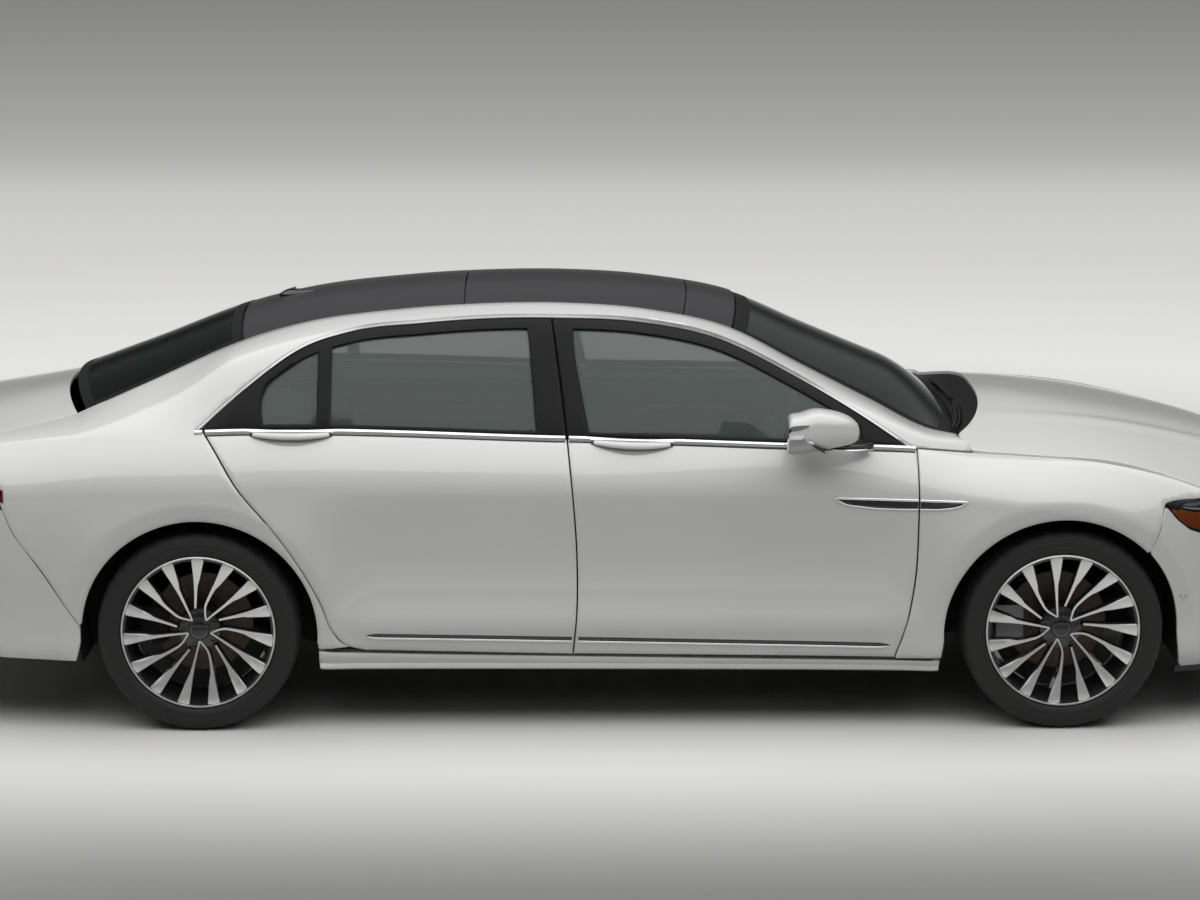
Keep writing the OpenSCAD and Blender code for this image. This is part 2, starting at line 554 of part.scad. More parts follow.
module rear_axle() {
    for (k = [0, 1]) mirror([0, k, 0]) translate([rear_axle_x, 0, 0]) {
        knuckle_parts();
        block([-38, 380, 268], [38, 655, 306]);
        strut([90, 480, 290], 84, 3);
        block([60, 420, 268], [120, 560, 296]);
        block([-40, 520, 268], [120, 560, 296]);
    }
    block([rear_axle_x - 130, -430, 258], [rear_axle_x + 130, 430, 338]);
    translate([rear_axle_x, 0, 325]) rotate([0, 90, 0]) cylinder(r1 = 48, r2 = 44, h = 190);
}

module exhaust() {
    bar_x([-2000, 0, 168], 30, 3000);
    translate([-2110, 300, 270]) rotate([90, 0, 0]) linear_extrude(700) {
        square([290, 130], center = true);
        for (k = [-1, 1]) translate([k * 145, 0]) circle(r = 65);
    }
    block([-2010, -30, 150], [-1960, 30, 230]);
    for (y = [-360, 260]) bar_x([-2530, y, 232], 30, 240);
}

// half-round liner inside a wheel arch
module liner(left, x) {
    sided(left) translate([x, 0, 338]) rotate([-90, 0, 0]) translate([0, 0, 590])
        rotate([0, 0, 180]) rotate_extrude(angle = 180)
            translate([arch_r + 8, 0]) square([5, 258]);
}

// bar along Y from y0 with a section of [x, z]
module section_y(y0, l, outline) {
    translate([0, y0 + l, 0]) rotate([90, 0, 0]) linear_extrude(l) polygon(outline);
}

// dashboard with air vents, instrument hood, screen and centre console
module dashboard() {
    difference() {
        section_y(-735, 1470, [[1140, 560], [1140, 915], [1060, 955], [880, 935], [820, 905],
            [800, 880], [790, 780], [850, 700], [860, 600], [960, 540]]);
        for (y = [-640, -130, 130, 640]) block([780, y - 62, 806], [826, y + 62, 858]);
    }
    section_y(240, 280, [[830, 895], [846, 968], [900, 980], [1000, 940]]);
    section_y(-140, 280, [[812, 880], [834, 1000], [850, 1000], [866, 900]]);
    block([-300, -105, 322], [860, 105, 560]);
    block([800, -105, 540], [1000, 105, 700]);
}

seat_side = [[-60, 300], [400, 300], [430, 380], [420, 470], [60, 440], [-60, 480],
    [-190, 960], [-200, 1000], [-215, 1130], [-290, 1130], [-300, 1000], [-310, 950],
    [-220, 480], [-190, 380]];
module front_seat(left) {
    sided(left) translate([0, 660, 0]) rotate([90, 0, 0]) linear_extrude(500)
        polygon(seat_side);
}
module rear_seat() {
    translate([0, 630, 0]) rotate([90, 0, 0]) linear_extrude(1260)
        polygon([[-950, 320], [-440, 320], [-410, 400], [-430, 480], [-860, 450],
            [-1040, 940], [-1060, 1010], [-1120, 1010], [-1130, 930], [-962, 430]]);
    block([-1800, -530, 952], [-1110, 530, 972]);
}

module steering_wheel() {
    translate([650, 380, 830]) rotate([0, -68, 0]) {
        rotate_extrude() translate([steer_d / 2 - 16, 0]) circle(r = 16, $fn = 24);
        cylinder(r = 62, h = 40, center = true);
        for (a = [0, 120, 240]) rotate([0, 0, a]) translate([40, -16, -9])
            cube([steer_d / 2 - 62, 32, 18]);
        translate([0, 0, -125]) cylinder(r = 26, h = 130);
    }
}

// half outlines of a wheel in radius and offset from the tyre middle
tw = tyre_w / 2;
tyre_side = [[rim_r - 10, tw - 25], [rim_r + 1.5, tw - 21], [rim_r + 4, tw - 10],
    [rim_r + 24, tw - 1], [rim_r + 48, tw - 1], [tyre_r - 16, tw - 8], [tyre_r - 4, tw - 24], [tyre_r, tw - 52],
    [tyre_r, 0]];
tyre_bore = [[tyre_r - 16, 0], [tyre_r - 16, tw - 42], [tyre_r - 28, tw - 20],
    [rim_r + 30, tw - 16], [rim_r + 4, tw - 26], [rim_r - 10, tw - 38]];
module tyre_ring() {
    rotate_extrude($fn = 72) polygon(concat(
        tyre_side, [for (i = [7 : -1 : 0]) [tyre_side[i][0], -tyre_side[i][1]]],
        [for (i = [5 : -1 : 1]) [tyre_bore[i][0], -tyre_bore[i][1]]], tyre_bore));
}

// spoke between an outer and an inner angle, inner radius r0
module spoke(a1, a0, r0) {
    r1 = rim_r - 20;
    q0 = r0 * [cos(a0), sin(a0)];
    q1 = r1 * [cos(a1), sin(a1)];
    m = mix(q0, q1, 0.62);
    d = (q1 - q0) / norm(q1 - q0);
    n = [-d[1], d[0]];
    polygon([q0 + n * 6, m + n * 13, q1 + n * 19, q1 - n * 19, m - n * 15, q0 - n * 6]);
}
// wheel disc with barrel, spokes, hub and brake disc, outer face to +Z
module wheel_disc() {
    rotate_extrude($fn = 72)
        polygon([[rim_r, tw - 12], [rim_r, tw - 19], [rim_r - 11, tw - 22], [rim_r - 16, 40],
            [rim_r - 30, 20], [rim_r - 30, -40], [rim_r - 16, 40 - tw], [rim_r - 11, 22 - tw],
            [rim_r, 19 - tw], [rim_r, 12 - tw], [rim_r - 16, 12 - tw], [rim_r - 24, 30 - tw],
            [rim_r - 40, -36], [rim_r - 40, 16], [rim_r - 26, 42], [rim_r - 22, tw - 26],
            [rim_r - 18, tw - 12]]);
    intersection() {
        linear_extrude(tw) union() {
            for (k = [0 : spokes / 3 - 1]) rotate(k * 1080 / spokes) {
                spoke(90, 99, 70);
                spoke(114, 127, 48);
                spoke(138, 127, 48);
            }
        }
        rotate_extrude($fn = 72) polygon([[30, 74], [80, 72], [rim_r - 20, tw - 14],
            [rim_r - 20, tw - 54], [80, 24], [30, 24]]);
    }
    difference() {
        translate([0, 0, -92]) cylinder(r = 74, h = 172);
        translate([0, 0, -93]) cylinder(r = 30.06, h = 145);
    }
    difference() {
        translate([0, 0, -92]) cylinder(r = 176, h = 28);
        translate([0, 0, -93]) cylinder(r = 70, h = 30);
    }
}
// wheel or tyre set on an axle of the right or left side
module at_hub(left, x) {
    sided(left) mirror([0, 1, 0]) translate([x, -track_y, hub_z]) rotate([90, 0, 0]) children();
}

paint = [0.93, 0.93, 0.91];
dark = [0.1, 0.1, 0.11];
pane_tint = [0.2, 0.25, 0.24, 0.6];
metal = [0.7, 0.7, 0.72];

color(paint) fender(true);  // fender_left
color(paint) fender(false);  // fender_right
color(paint) quarter(true);  // quarter_left
color(paint) quarter(false);  // quarter_right
color(paint) roof_rail(true);  // roof_rail_left
color(paint) roof_rail(false);  // roof_rail_right
color(paint) sill(true);  // sill_left
color(paint) sill(false);  // sill_right
color(dark) b_pillar(true);  // b_pillar_left
color(dark) b_pillar(false);  // b_pillar_right
color(metal) headlamp(true);  // headlamp_left
color(metal) headlamp(false);  // headlamp_right
color([0.5, 0.05, 0.05]) tail_lamp(true);  // tail_lamp_left
color([0.5, 0.05, 0.05]) tail_lamp(false);  // tail_lamp_right
color([0.75, 0.72, 0.66]) front_seat(true);  // front_seat_left
color([0.75, 0.72, 0.66]) front_seat(false);  // front_seat_right
color(paint) front_door(true);  // front_door_left
color(paint) front_door(false);  // front_door_right
color(paint) rear_door(true);  // rear_door_left
color(paint) rear_door(false);  // rear_door_right
color(paint) mirror_housing(true);  // mirror_left
color(paint) mirror_housing(false);  // mirror_right
color(metal) knuckle(true);  // knuckle_left
color(metal) knuckle(false);  // knuckle_right
color(pane_tint) front_pane(true);  // front_glass_left
color(pane_tint) rear_pane(true);  // rear_glass_left
color(dark) liner(true, front_axle_x - 5);  // liner_front_left
color(metal) at_hub(true, front_axle_x) wheel_disc();  // wheel_front_left
color(dark) at_hub(true, front_axle_x) tyre_ring();  // tyre_front_left
color(dark) liner(true, rear_axle_x + 4);  // liner_rear_left
color(metal) at_hub(true, rear_axle_x) wheel_disc();  // wheel_rear_left
color(dark) at_hub(true, rear_axle_x) tyre_ring();  // tyre_rear_left
color(pane_tint) front_pane(false);  // front_glass_right
color(pane_tint) rear_pane(false);  // rear_glass_right
color(dark) liner(false, front_axle_x - 5);  // liner_front_right
color(metal) at_hub(false, front_axle_x) wheel_disc();  // wheel_front_right
color(dark) at_hub(false, front_axle_x) tyre_ring();  // tyre_front_right
color(dark) liner(false, rear_axle_x + 4);  // liner_rear_right
color(metal) at_hub(false, rear_axle_x) wheel_disc();  // wheel_rear_right
color(dark) at_hub(false, rear_axle_x) tyre_ring();  // tyre_rear_right
color(dark) roof();
color(pane_tint) windscreen();
color(pane_tint) rear_window();
color(paint) front_bumper();
color(paint) rear_bumper();
color(metal) grille();
color(metal) grille_header();
color(dark) floor_pan();
color(metal) tow_socket();
color(dark) firewall();
color(metal) engine();
color(dark) front_subframe();
color(dark) rear_axle();
color(metal) exhaust();
color(dark) dashboard();
color([0.75, 0.72, 0.66]) rear_seat();
color(dark) steering_wheel();
color(paint) hood();
color(paint) boot_lid();
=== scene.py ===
"""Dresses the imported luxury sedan: paint, glass, bright trim, wheels, lamps and cabin.

Every size is in millimetres until a mesh is made, +X forward, +Y left, +Z up.
"""
import logging
import math
from dataclasses import dataclass, replace
from enum import Enum
from typing import Dict, List, Optional, Sequence, Tuple

import bmesh
import bpy
import numpy as np
from mathutils import Matrix, Vector
from mathutils.geometry import delaunay_2d_cdt


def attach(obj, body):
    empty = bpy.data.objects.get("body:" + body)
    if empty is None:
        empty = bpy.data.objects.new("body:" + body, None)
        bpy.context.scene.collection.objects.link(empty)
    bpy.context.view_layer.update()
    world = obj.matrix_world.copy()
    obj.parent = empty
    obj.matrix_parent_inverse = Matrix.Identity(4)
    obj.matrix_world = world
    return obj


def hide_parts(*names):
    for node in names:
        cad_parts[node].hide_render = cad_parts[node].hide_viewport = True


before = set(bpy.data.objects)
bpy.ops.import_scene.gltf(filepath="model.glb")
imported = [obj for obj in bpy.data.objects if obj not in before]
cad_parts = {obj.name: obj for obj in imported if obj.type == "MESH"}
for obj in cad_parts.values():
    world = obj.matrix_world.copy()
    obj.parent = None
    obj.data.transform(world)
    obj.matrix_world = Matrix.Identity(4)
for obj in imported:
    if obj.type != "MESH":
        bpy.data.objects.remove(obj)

LOG = logging.getLogger("sedan")
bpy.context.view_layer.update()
MM = 0.001
Pair = Tuple[float, float]
Array = np.ndarray
Colour = Tuple[float, float, float]


class Side(Enum):
    """Side of the car, with the sign of its Y."""

    LEFT = 1
    RIGHT = -1

    @property
    def word(self) -> str:
        """Name used in node and body names."""
        return self.name.lower()

    @property
    def mirror(self) -> Array:
        """Factors that carry points of the left side over to this one."""
        return np.array([1, self.value, 1])


class Axle(Enum):
    """Axle of the car, with its X in millimetres."""

    FRONT = 1568.0
    REAR = -1426.0

    @property
    def word(self) -> str:
        """Name used in node and body names."""
        return self.name.lower()

    @property
    def arch_x(self) -> float:
        """X of the middle of the wheel arch, which lies a little beside the axle."""
        return self.value + (-5 if self is Axle.FRONT else 4)


class Smooth:
    """Smooth function through a rising list of [x, value] knots."""

    def __init__(self, knots: Sequence[Pair]) -> None:
        """Prepares the slopes at the knots.

        Args:
            knots: pairs of position and value, positions rising.
        """
        self.x = np.array([k[0] for k in knots], float)
        self.y = np.array([k[1] for k in knots], float)
        step = np.diff(self.x)
        rise = np.diff(self.y) / step
        slope = np.zeros_like(self.x)
        slope[0], slope[-1] = rise[0], rise[-1]
        slope[1:-1] = (rise[:-1] * step[1:] + rise[1:] * step[:-1]) / (step[1:] + step[:-1])
        self.m = slope

    def __call__(self, x: Array) -> Array:
        """Value at x, held flat beyond the ends.

        Args:
            x: positions.
        Returns:
            Values of the same shape.
        """
        q = np.clip(np.asarray(x, float), self.x[0], self.x[-1])
        i = np.clip(np.searchsorted(self.x, q, side="right") - 1, 0, len(self.x) - 2)
        h = self.x[i + 1] - self.x[i]
        f = (q - self.x[i]) / h
        a, b = self.y[i], self.y[i + 1]
        return (a * (2 * f ** 3 - 3 * f ** 2 + 1) + h * self.m[i] * (f ** 3 - 2 * f ** 2 + f)
                + b * (3 * f ** 2 - 2 * f ** 3) + h * self.m[i + 1] * (f ** 3 - f ** 2))


def unit(rows: Array) -> Array:
    """Directions of length one."""
    return rows / np.linalg.norm(rows, axis=-1, keepdims=True)


def run(points: Array) -> Array:
    """Distance of each point of a row from its start, along the row."""
    return np.concatenate([[0], np.cumsum(np.linalg.norm(np.diff(points, axis=0), axis=1))])


def through(points: Sequence[Sequence[float]], step: float = 8.0) -> Array:
    """Smooth row of points through a few given ones.

    Args:
        points: key points of any dimension.
        step: distance between the points made.
    Returns:
        Array of points, ends kept.
    """
    p = np.array(points, float)
    d = run(p)
    n = max(int(d[-1] / step), 2)
    t = np.linspace(0, d[-1], n + 1)
    return np.stack([Smooth(list(zip(d, p[:, k])))(t) for k in range(p.shape[1])], axis=1)


def straight(points: Sequence[Sequence[float]], step: float = 8.0) -> Array:
    """Row of points along straight stretches between given ones.

    Args:
        points: corner points.
        step: distance between the points made.
    Returns:
        Array of points, corners kept.
    """
    rows = []
    for a, b in zip(points[:-1], points[1:]):
        a, b = np.array(a, float), np.array(b, float)
        n = max(int(np.linalg.norm(b - a) / step), 1)
        rows.append(a + (b - a) * np.linspace(0, 1, n, endpoint=False)[:, None])
    rows.append(np.array([points[-1]], float))
    return np.vstack(rows)


@dataclass
class BodyLines:
    """Shape of the body: rails as functions of X and the skin between them."""

    upper_span: float = 500.0
    arch_radius: float = 412.0
    arch_z: float = 338.0
    flare: float = 8.0
    brow: float = 56.0
    fade: float = 150.0
    shut: float = 2.6
    folded: Smooth = Smooth([(-1700, 0), (-1000, 1), (950, 1), (1300, 0.1)])
    plan: Smooth = Smooth([(-2560, 560), (-2450, 740), (-2200, 880), (-1900, 935), (-1426, 953),
                           (-600, 950), (600, 950), (1568, 956), (1900, 930), (2200, 845),
                           (2450, 640), (2560, 380)])
    belt_z: Smooth = Smooth([(-2440, 922), (-2300, 956), (-2124, 985), (-1746, 1022), (-1437, 1041),
                             (-139, 1021), (584, 1002), (1057, 984), (1257, 962), (1418, 951),
                             (1752, 922), (1902, 887), (2044, 839), (2200, 775), (2400, 690),
                             (2560, 640)])
    belt_in: Smooth = Smooth([(-2440, 50), (-2300, 84), (-2124, 110), (-1746, 105), (-1437, 108),
                              (-139, 96), (1057, 100), (1257, 150), (1752, 112), (2044, 78),
                              (2200, 60)])
    crease_z: Smooth = Smooth([(-2200, 800), (-960, 850), (-123, 850), (991, 825), (1568, 760),
                               (2044, 660)])
    rail_low: Smooth = Smooth([(-1437, 1041), (-1278, 1177), (-1075, 1317), (-903, 1370),
                               (-660, 1396), (-382, 1412), (-173, 1412), (105, 1398), (384, 1344),
                               (660, 1217), (865, 1103), (1053, 982)])
    rail_top: Smooth = Smooth([(-1856, 1073), (-1611, 1176), (-1295, 1312), (-1085, 1372),
                               (-734, 1420), (-454, 1438), (-173, 1441), (142, 1417), (440, 1350),
                               (667, 1238), (911, 1120), (1119, 1024), (1206, 1008)])
    rail_top_y: Smooth = Smooth([(-1856, 600), (-1611, 548), (-1295, 505), (-734, 475), (-173, 470),
                                 (440, 500), (667, 550), (911, 612), (1119, 685), (1206, 705)])
    crown: Smooth = Smooth([(-1913, 62), (-1609, 66), (-1343, 58), (-1048, 46), (-520, 42),
                            (54, 42), (282, 48), (509, 58), (731, 74), (993, 92), (1206, 96)])
    low_in: Smooth = Smooth([(190, 95), (215, 66), (250, 42), (300, 31), (345, 33), (430, 26),
                             (560, 8), (680, 0), (900, 0)])
    waist_in: Smooth = Smooth([(285, 0), (300, -3), (330, -13), (365, -26), (385, -27), (400, -25),
                               (430, -14), (475, 2), (520, 14), (570, 22), (640, 24), (735, 15),
                               (800, 5), (850, 0), (900, 0)])
    boot_y: Smooth = Smooth([(-2440, 640), (-2300, 690), (-2124, 695), (-1988, 655), (-1856, 602)])
    boot_z: Smooth = Smooth([(-2440, 955), (-2300, 985), (-2124, 1014), (-1988, 1040),
                             (-1856, 1071)])
    hood_mid: Smooth = Smooth([(1206, 1104), (1264, 1090), (1492, 1070), (1873, 1016), (2256, 925),
                               (2400, 872), (2500, 806)])

    def top_y(self, x: Array) -> Array:
        """Half width of the upper edge of the painted side at x."""
        return np.where(x < -1856, self.boot_y(x), self.rail_top_y(x))

    def top_z(self, x: Array) -> Array:
        """Height of the upper edge of the painted side at x."""
        return np.where(x < -1856, self.boot_z(x), self.rail_top(x))

    def lower(self, x: Array, z: Array) -> Array:
        """Half width below the belt.

        Args:
            x: positions along the car.
            z: heights.
        Returns:
            Distance from the centre plane, with a flare round the wheels.
        """
        zc, zb = self.crease_z(x), self.belt_z(x)
        u = np.clip((z - zc) / (zb - zc), 0, None)
        fold = 0.13 * self.folded(x)
        roll = fold * u + (1 - fold) * u ** 1.9
        hollow = np.clip((x + 1080) / 300, 0, 1) * np.clip((1180 - x) / 300, 0, 1)
        waist = self.waist_in(np.clip(z, 285, 900)) * hollow * hollow * (3 - 2 * hollow) * (z < 850)
        return self.plan(x) - self.low_in(z) - waist - self.belt_in(x) * roll + self.bulge(x, z)

    def bulge(self, x: Array, z: Array) -> Array:
        """Flare round the wheel arches.

        Args:
            x: positions along the car.
            z: heights.
        Returns:
            Distance that the flare adds to the half width.
        """
        total = np.zeros(np.broadcast(x, z).shape)
        for axle in Axle:
            r = np.hypot(x - axle.arch_x, z - self.arch_z) - self.arch_radius
            swell = np.where(r < self.brow, 1 - 1.5 * (1 - r / self.brow),
                             np.clip(1 - (r - self.brow) / self.fade, 0, 1) ** 2)
            total = total + self.flare * np.where((r > -40) & (z > 120), swell, 0)
        return total

    def upper(self, x: Array, t: Array) -> Tuple[Array, Array]:
        """Skin between the belt (t = 0) and the upper edge (t = 1).

        Args:
            x: positions along the car.
            t: share of the way up.
        Returns:
            Half width and height.
        """
        zb = self.belt_z(x)
        y0 = self.plan(x) - self.belt_in(x)
        y2, z2 = self.top_y(x), self.top_z(x)
        back = np.clip((-1300 - x) / 320, 0, 1)
        back = back * back * (3 - 2 * back)
        lean = 0.55 + 0.5 * back
        share = 0.925 - 0.33 * back
        z1 = zb + (z2 - zb) * share
        y1 = np.maximum(y0 - lean * (z1 - zb), y2 + 0.25 * (y0 - y2))
        w = 3.2 - 2.2 * back
        b0, b1, b2 = (1 - t) ** 2, 2 * t * (1 - t) * w, t ** 2
        s = b0 + b1 + b2
        return (b0 * y0 + b1 * y1 + b2 * y2) / s, (b0 * zb + b1 * z1 + b2 * z2) / s

    def skin(self, x: Array, s: Array) -> Array:
        """Point of the left skin for a place (x, s) in the flat chart.

        Args:
            x: positions along the car.
            s: height over the belt below it, or share of the upper span above it.
        Returns:
            Array of points.
        """
        x, s = np.asarray(x, float), np.asarray(s, float)
        low_z = self.belt_z(x) + np.minimum(s, 0)
        yu, zu = self.upper(x, np.clip(s, 0, None) / self.upper_span)
        y = np.where(s <= 0, self.lower(x, low_z), yu)
        return np.stack([x, y, np.where(s <= 0, low_z, zu)], axis=-1)

    def chart(self, x: Array, z: Array) -> Array:
        """Place in the flat chart of side-view points.

        Args:
            x: positions along the car.
            z: heights.
        Returns:
            Array of (x, s).
        """
        x, z = np.asarray(x, float), np.asarray(z, float)
        grid = np.linspace(0, 1, 161)
        s = z - self.belt_z(x)
        for i in np.flatnonzero(s > 0):
            heights = self.upper(np.full(161, x[i]), grid)[1]
            s[i] = np.interp(z[i], heights, grid) * self.upper_span
        return np.stack([x, s], axis=-1)

    def normal(self, x: Array, s: Array) -> Array:
        """Outward direction of the left skin at places in the flat chart."""
        e = 4.0
        du = self.skin(x + e, s) - self.skin(x - e, s)
        dv = self.skin(x, s + e) - self.skin(x, s - e)
        return unit(np.cross(dv, du))

    def under_rail(self, x: Array, d: float) -> Array:
        """Height at a distance d under the window surround."""
        x = np.asarray(x, float)
        slope = (self.rail_low(x + 10) - self.rail_low(x - 10)) / 20
        return self.rail_low(x) - d * np.hypot(1, slope)

    def arch(self, axle: Axle, a0: float, a1: float, r: Optional[float] = None) -> Array:
        """Side-view arc of a wheel arch between two angles in degrees."""
        a = np.radians(np.linspace(a0, a1, 60))
        r = r or self.arch_radius
        return np.stack([axle.arch_x + r * np.cos(a), self.arch_z + r * np.sin(a)], axis=1)

    def hood_half(self, x: Array) -> Array:
        """Half width of the hood at x."""
        return self.plan(x) - self.belt_in(x) - self.shut - 3

    def hood_z(self, x: Array, y: Array) -> Array:
        """Height of the hood."""
        m, e = self.hood_mid(x), self.belt_z(x) + 2
        v = np.clip(np.abs(y) / self.hood_half(x), 0, 1)
        return m - (m - e) * v ** 2.3

    @staticmethod
    def hood_tip(y: Array) -> Array:
        """Front edge of the hood in plan."""
        return 2488 - 440 * np.clip(np.abs(y) / 815, 0, 1) ** 4.5

    def hood_edge(self, y: Array) -> Array:
        """Front edge of the hood at a distance from the middle."""
        v = np.linspace(0, 1, 120)
        x = self.hood_tip(800 * v)
        return np.interp(np.abs(y), v * np.minimum(self.hood_half(x), 830), x)

    @staticmethod
    def hood_heel(y: Array) -> Array:
        """Rear edge of the hood in plan."""
        a = np.abs(y)
        return 1214 + 124 * (1 - np.clip(a / 705, 0, 1) ** 3.4) + 0.42 * np.clip(a - 705, 0, None)


LINES = BodyLines()


class Forge:
    """Makes mesh objects from arrays of points in millimetres."""

    @staticmethod
    def mesh(name: str, points: Array, faces: Sequence[Sequence[int]], sharp: float = 40.0,
             bevel: float = 0.0) -> bpy.types.Object:
        """Mesh object with smooth faces and sharp edges over an angle.

        Args:
            name: piece name.
            points: vertices in millimetres.
            faces: vertex indices of each face.
            sharp: angle in degrees from which an edge stays sharp.
            bevel: width in millimetres of a rounded edge, or 0 for none.
        Returns:
            The object, linked to the scene.
        """
        data = bpy.data.meshes.new(name)
        data.from_pydata((np.asarray(points, float) * MM).tolist(), [], [list(map(int, f)) for f in faces])
        data.validate()
        data.polygons.foreach_set("use_smooth", [True] * len(data.polygons))
        data.set_sharp_from_angle(angle=math.radians(sharp))
        data.update()
        obj = bpy.data.objects.new(name, data)
        bpy.context.scene.collection.objects.link(obj)
        if bevel:
            mod = obj.modifiers.new("edge", "BEVEL")
            mod.width = bevel * MM
            mod.segments = 3
            mod.limit_method = "ANGLE"
            mod.angle_limit = math.radians(sharp)
            mod.use_clamp_overlap = True
            mod.harden_normals = True
        return obj

    @staticmethod
    def over(faces: Sequence[Sequence[int]], when: bool = True) -> List[List[int]]:
        """Faces turned over where that is asked for."""
        return [list(f)[::-1] if when else list(f) for f in faces]

    @staticmethod
    def grid_faces(a: int, b: int, ring: bool = False) -> List[List[int]]:
        """Quads of a grid of a rows by b points, closed round a if ring."""
        return [[i * b + j, (i + 1) % a * b + j, (i + 1) % a * b + j + 1, i * b + j + 1]
                for i in range(a if ring else a - 1) for j in range(b - 1)]

    @staticmethod
    def hoop(a: int, b: int, ring: bool = True) -> List[List[int]]:
        """Quads between a closed rows of b points, from the last row to the first too if ring."""
        return [[i * b + j, (i + 1) % a * b + j, (i + 1) % a * b + (j + 1) % b, i * b + (j + 1) % b]
                for i in range(a if ring else a - 1) for j in range(b)]

    @staticmethod
    def caps(a: int, b: int) -> List[List[int]]:
        """Faces that close the first and the last of a rows of b points."""
        return [list(range(b)), [(a - 1) * b + j for j in range(b)][::-1]]

    @classmethod
    def hose(cls, a: int, b: int, ring: bool = False) -> List[List[int]]:
        """Faces of a bar through a closed rows of b points, with its ends capped unless ring."""
        faces = [f[1:] + f[:1] for f in cls.hoop(a, b, ring)]
        return faces if ring else faces + cls.caps(a, b)

    @classmethod
    def sheet(cls, name: str, grid: Array, inner: Array, bevel: float = 0.0, flip: bool = False
              ) -> bpy.types.Object:
        """Closed shell between two grids of points.

        Args:
            name: piece name.
            grid: outer points, rows by columns by 3.
            inner: inner points of the same shape.
            bevel: width of the rounded rim.
            flip: turns the faces over.
        Returns:
            The object.
        """
        a, b = grid.shape[:2]
        n = a * b
        faces = cls.grid_faces(a, b)
        back = [[n + k for k in reversed(f)] for f in faces]
        rim = [(i * b, (i + 1) * b) for i in range(a - 1)]
        rim += [((i + 1) * b + b - 1, i * b + b - 1) for i in range(a - 1)]
        rim += [((a - 1) * b + j, (a - 1) * b + j + 1) for j in range(b - 1)]
        rim += [(j + 1, j) for j in range(b - 1)]
        walls = [[q, p, p + n, q + n] for p, q in rim]
        every = np.vstack([grid.reshape(-1, 3), inner.reshape(-1, 3)])
        return cls.mesh(name, every, cls.over(faces + back + walls, flip), bevel=bevel)

    @classmethod
    def chart_panel(cls, name: str, side: Side, outline: Array, holes: Sequence[Array] = (),
                    step: float = 15.0, lift: float = 0.0, thick: float = 10.0,
                    edge: float = 2.2, sideways: bool = False) -> bpy.types.Object:
        """Panel cut from the side skin by an outline in the flat chart.

        Args:
            name: piece name.
            side: side of the car.
            outline: closed row of (x, s).
            holes: closed rows of (x, s) left open.
            step: spacing of the points inside.
            lift: distance of the outer face from the skin, outward.
            thick: thickness of the panel.
            edge: radius of the rolled rim.
            sideways: measures the thickness along Y, thinning above the belt.
        Returns:
            The object.
        """
        loops = [cls.cleaned(outline)] + [cls.cleaned(h) for h in holes]
        rims = [cls.inset(l, edge if k == 0 else -edge) for k, l in enumerate(loops)]
        lo, hi = loops[0].min(0), loops[0].max(0)
        xs = np.arange(lo[0] + step / 2, hi[0], step)
        ss = np.arange(lo[1] + step / 2, hi[1], step)
        field_pts = np.array([(x, s) for x in xs for s in ss])
        keep = cls.inside(field_pts, rims[0], step * 0.45)
        for r in rims[1:]:
            keep &= ~cls.inside(field_pts, r, -step * 0.45)
        pts, segs, start = [], [], 0
        for row in loops + rims:
            n = len(row)
            pts.append(row)
            segs += [(start + i, start + (i + 1) % n) for i in range(n)]
            start += n
        pts.append(field_pts[keep])
        flat = np.vstack(pts)
        out = delaunay_2d_cdt([Vector(p) for p in flat], segs, [], 0, 1e-4)
        flat = np.array([tuple(v) for v in out[0]])
        tri = np.array([f for f in out[2] if len(f) == 3])
        mid = flat[tri].mean(1)
        ok = cls.inside(mid, loops[0], 0)
        for h in loops[1:]:
            ok &= ~cls.inside(mid, h, 0)
        tri = tri[ok]
        used = np.unique(tri)
        remap = -np.ones(len(flat), int)
        remap[used] = np.arange(len(used))
        flat, tri = flat[used], remap[tri]
        normal = LINES.normal(flat[:, 0], flat[:, 1])
        outer = LINES.skin(flat[:, 0], flat[:, 1]) + normal * lift
        sides = np.sort(np.concatenate([tri[:, [0, 1]], tri[:, [1, 2]], tri[:, [2, 0]]]), axis=1)
        pair, count = np.unique(sides, axis=0, return_counts=True)
        rim_set = np.unique(pair[count == 1])
        outer[rim_set] -= normal[rim_set] * edge
        if sideways:
            thin = np.interp(flat[:, 1], [-90, -15], [thick, thick * 0.4])
            back = outer - np.stack([0 * thin, thin, 0 * thin], axis=1)
        else:
            back = outer - normal * thick
        n = len(flat)
        area = np.cross(flat[tri[:, 1]] - flat[tri[:, 0]], flat[tri[:, 2]] - flat[tri[:, 0]])
        tri = np.where((area > 0)[:, None], tri[:, ::-1], tri)
        border = {tuple(p) for p in pair[count == 1]}
        walls = [[b, a, a + n, b + n] for t in tri for a, b in ((t[0], t[1]), (t[1], t[2]), (t[2], t[0]))
                 if (min(a, b), max(a, b)) in border]
        faces = tri.tolist() + (tri[:, ::-1] + n).tolist() + walls
        every = np.vstack([outer, back]) * side.mirror
        return cls.mesh(name, every, cls.over(faces, side is Side.RIGHT), sharp=52)

    @staticmethod
    def cleaned(row: Array) -> Array:
        """Closed row without repeated points, turning anticlockwise."""
        row = np.asarray(row, float)
        gap = np.linalg.norm(row - np.roll(row, 1, axis=0), axis=1)
        row = row[gap > 0.8]
        x, y = row[:, 0], row[:, 1]
        area = np.sum(x * np.roll(y, -1) - np.roll(x, -1) * y)
        return row if area > 0 else row[::-1]

    @staticmethod
    def inset(row: Array, d: float) -> Array:
        """Anticlockwise row moved inward by d."""
        t = np.roll(row, -1, axis=0) - np.roll(row, 1, axis=0)
        t /= np.maximum(np.linalg.norm(t, axis=1, keepdims=True), 1e-9)
        return row + np.stack([-t[:, 1], t[:, 0]], axis=1) * d

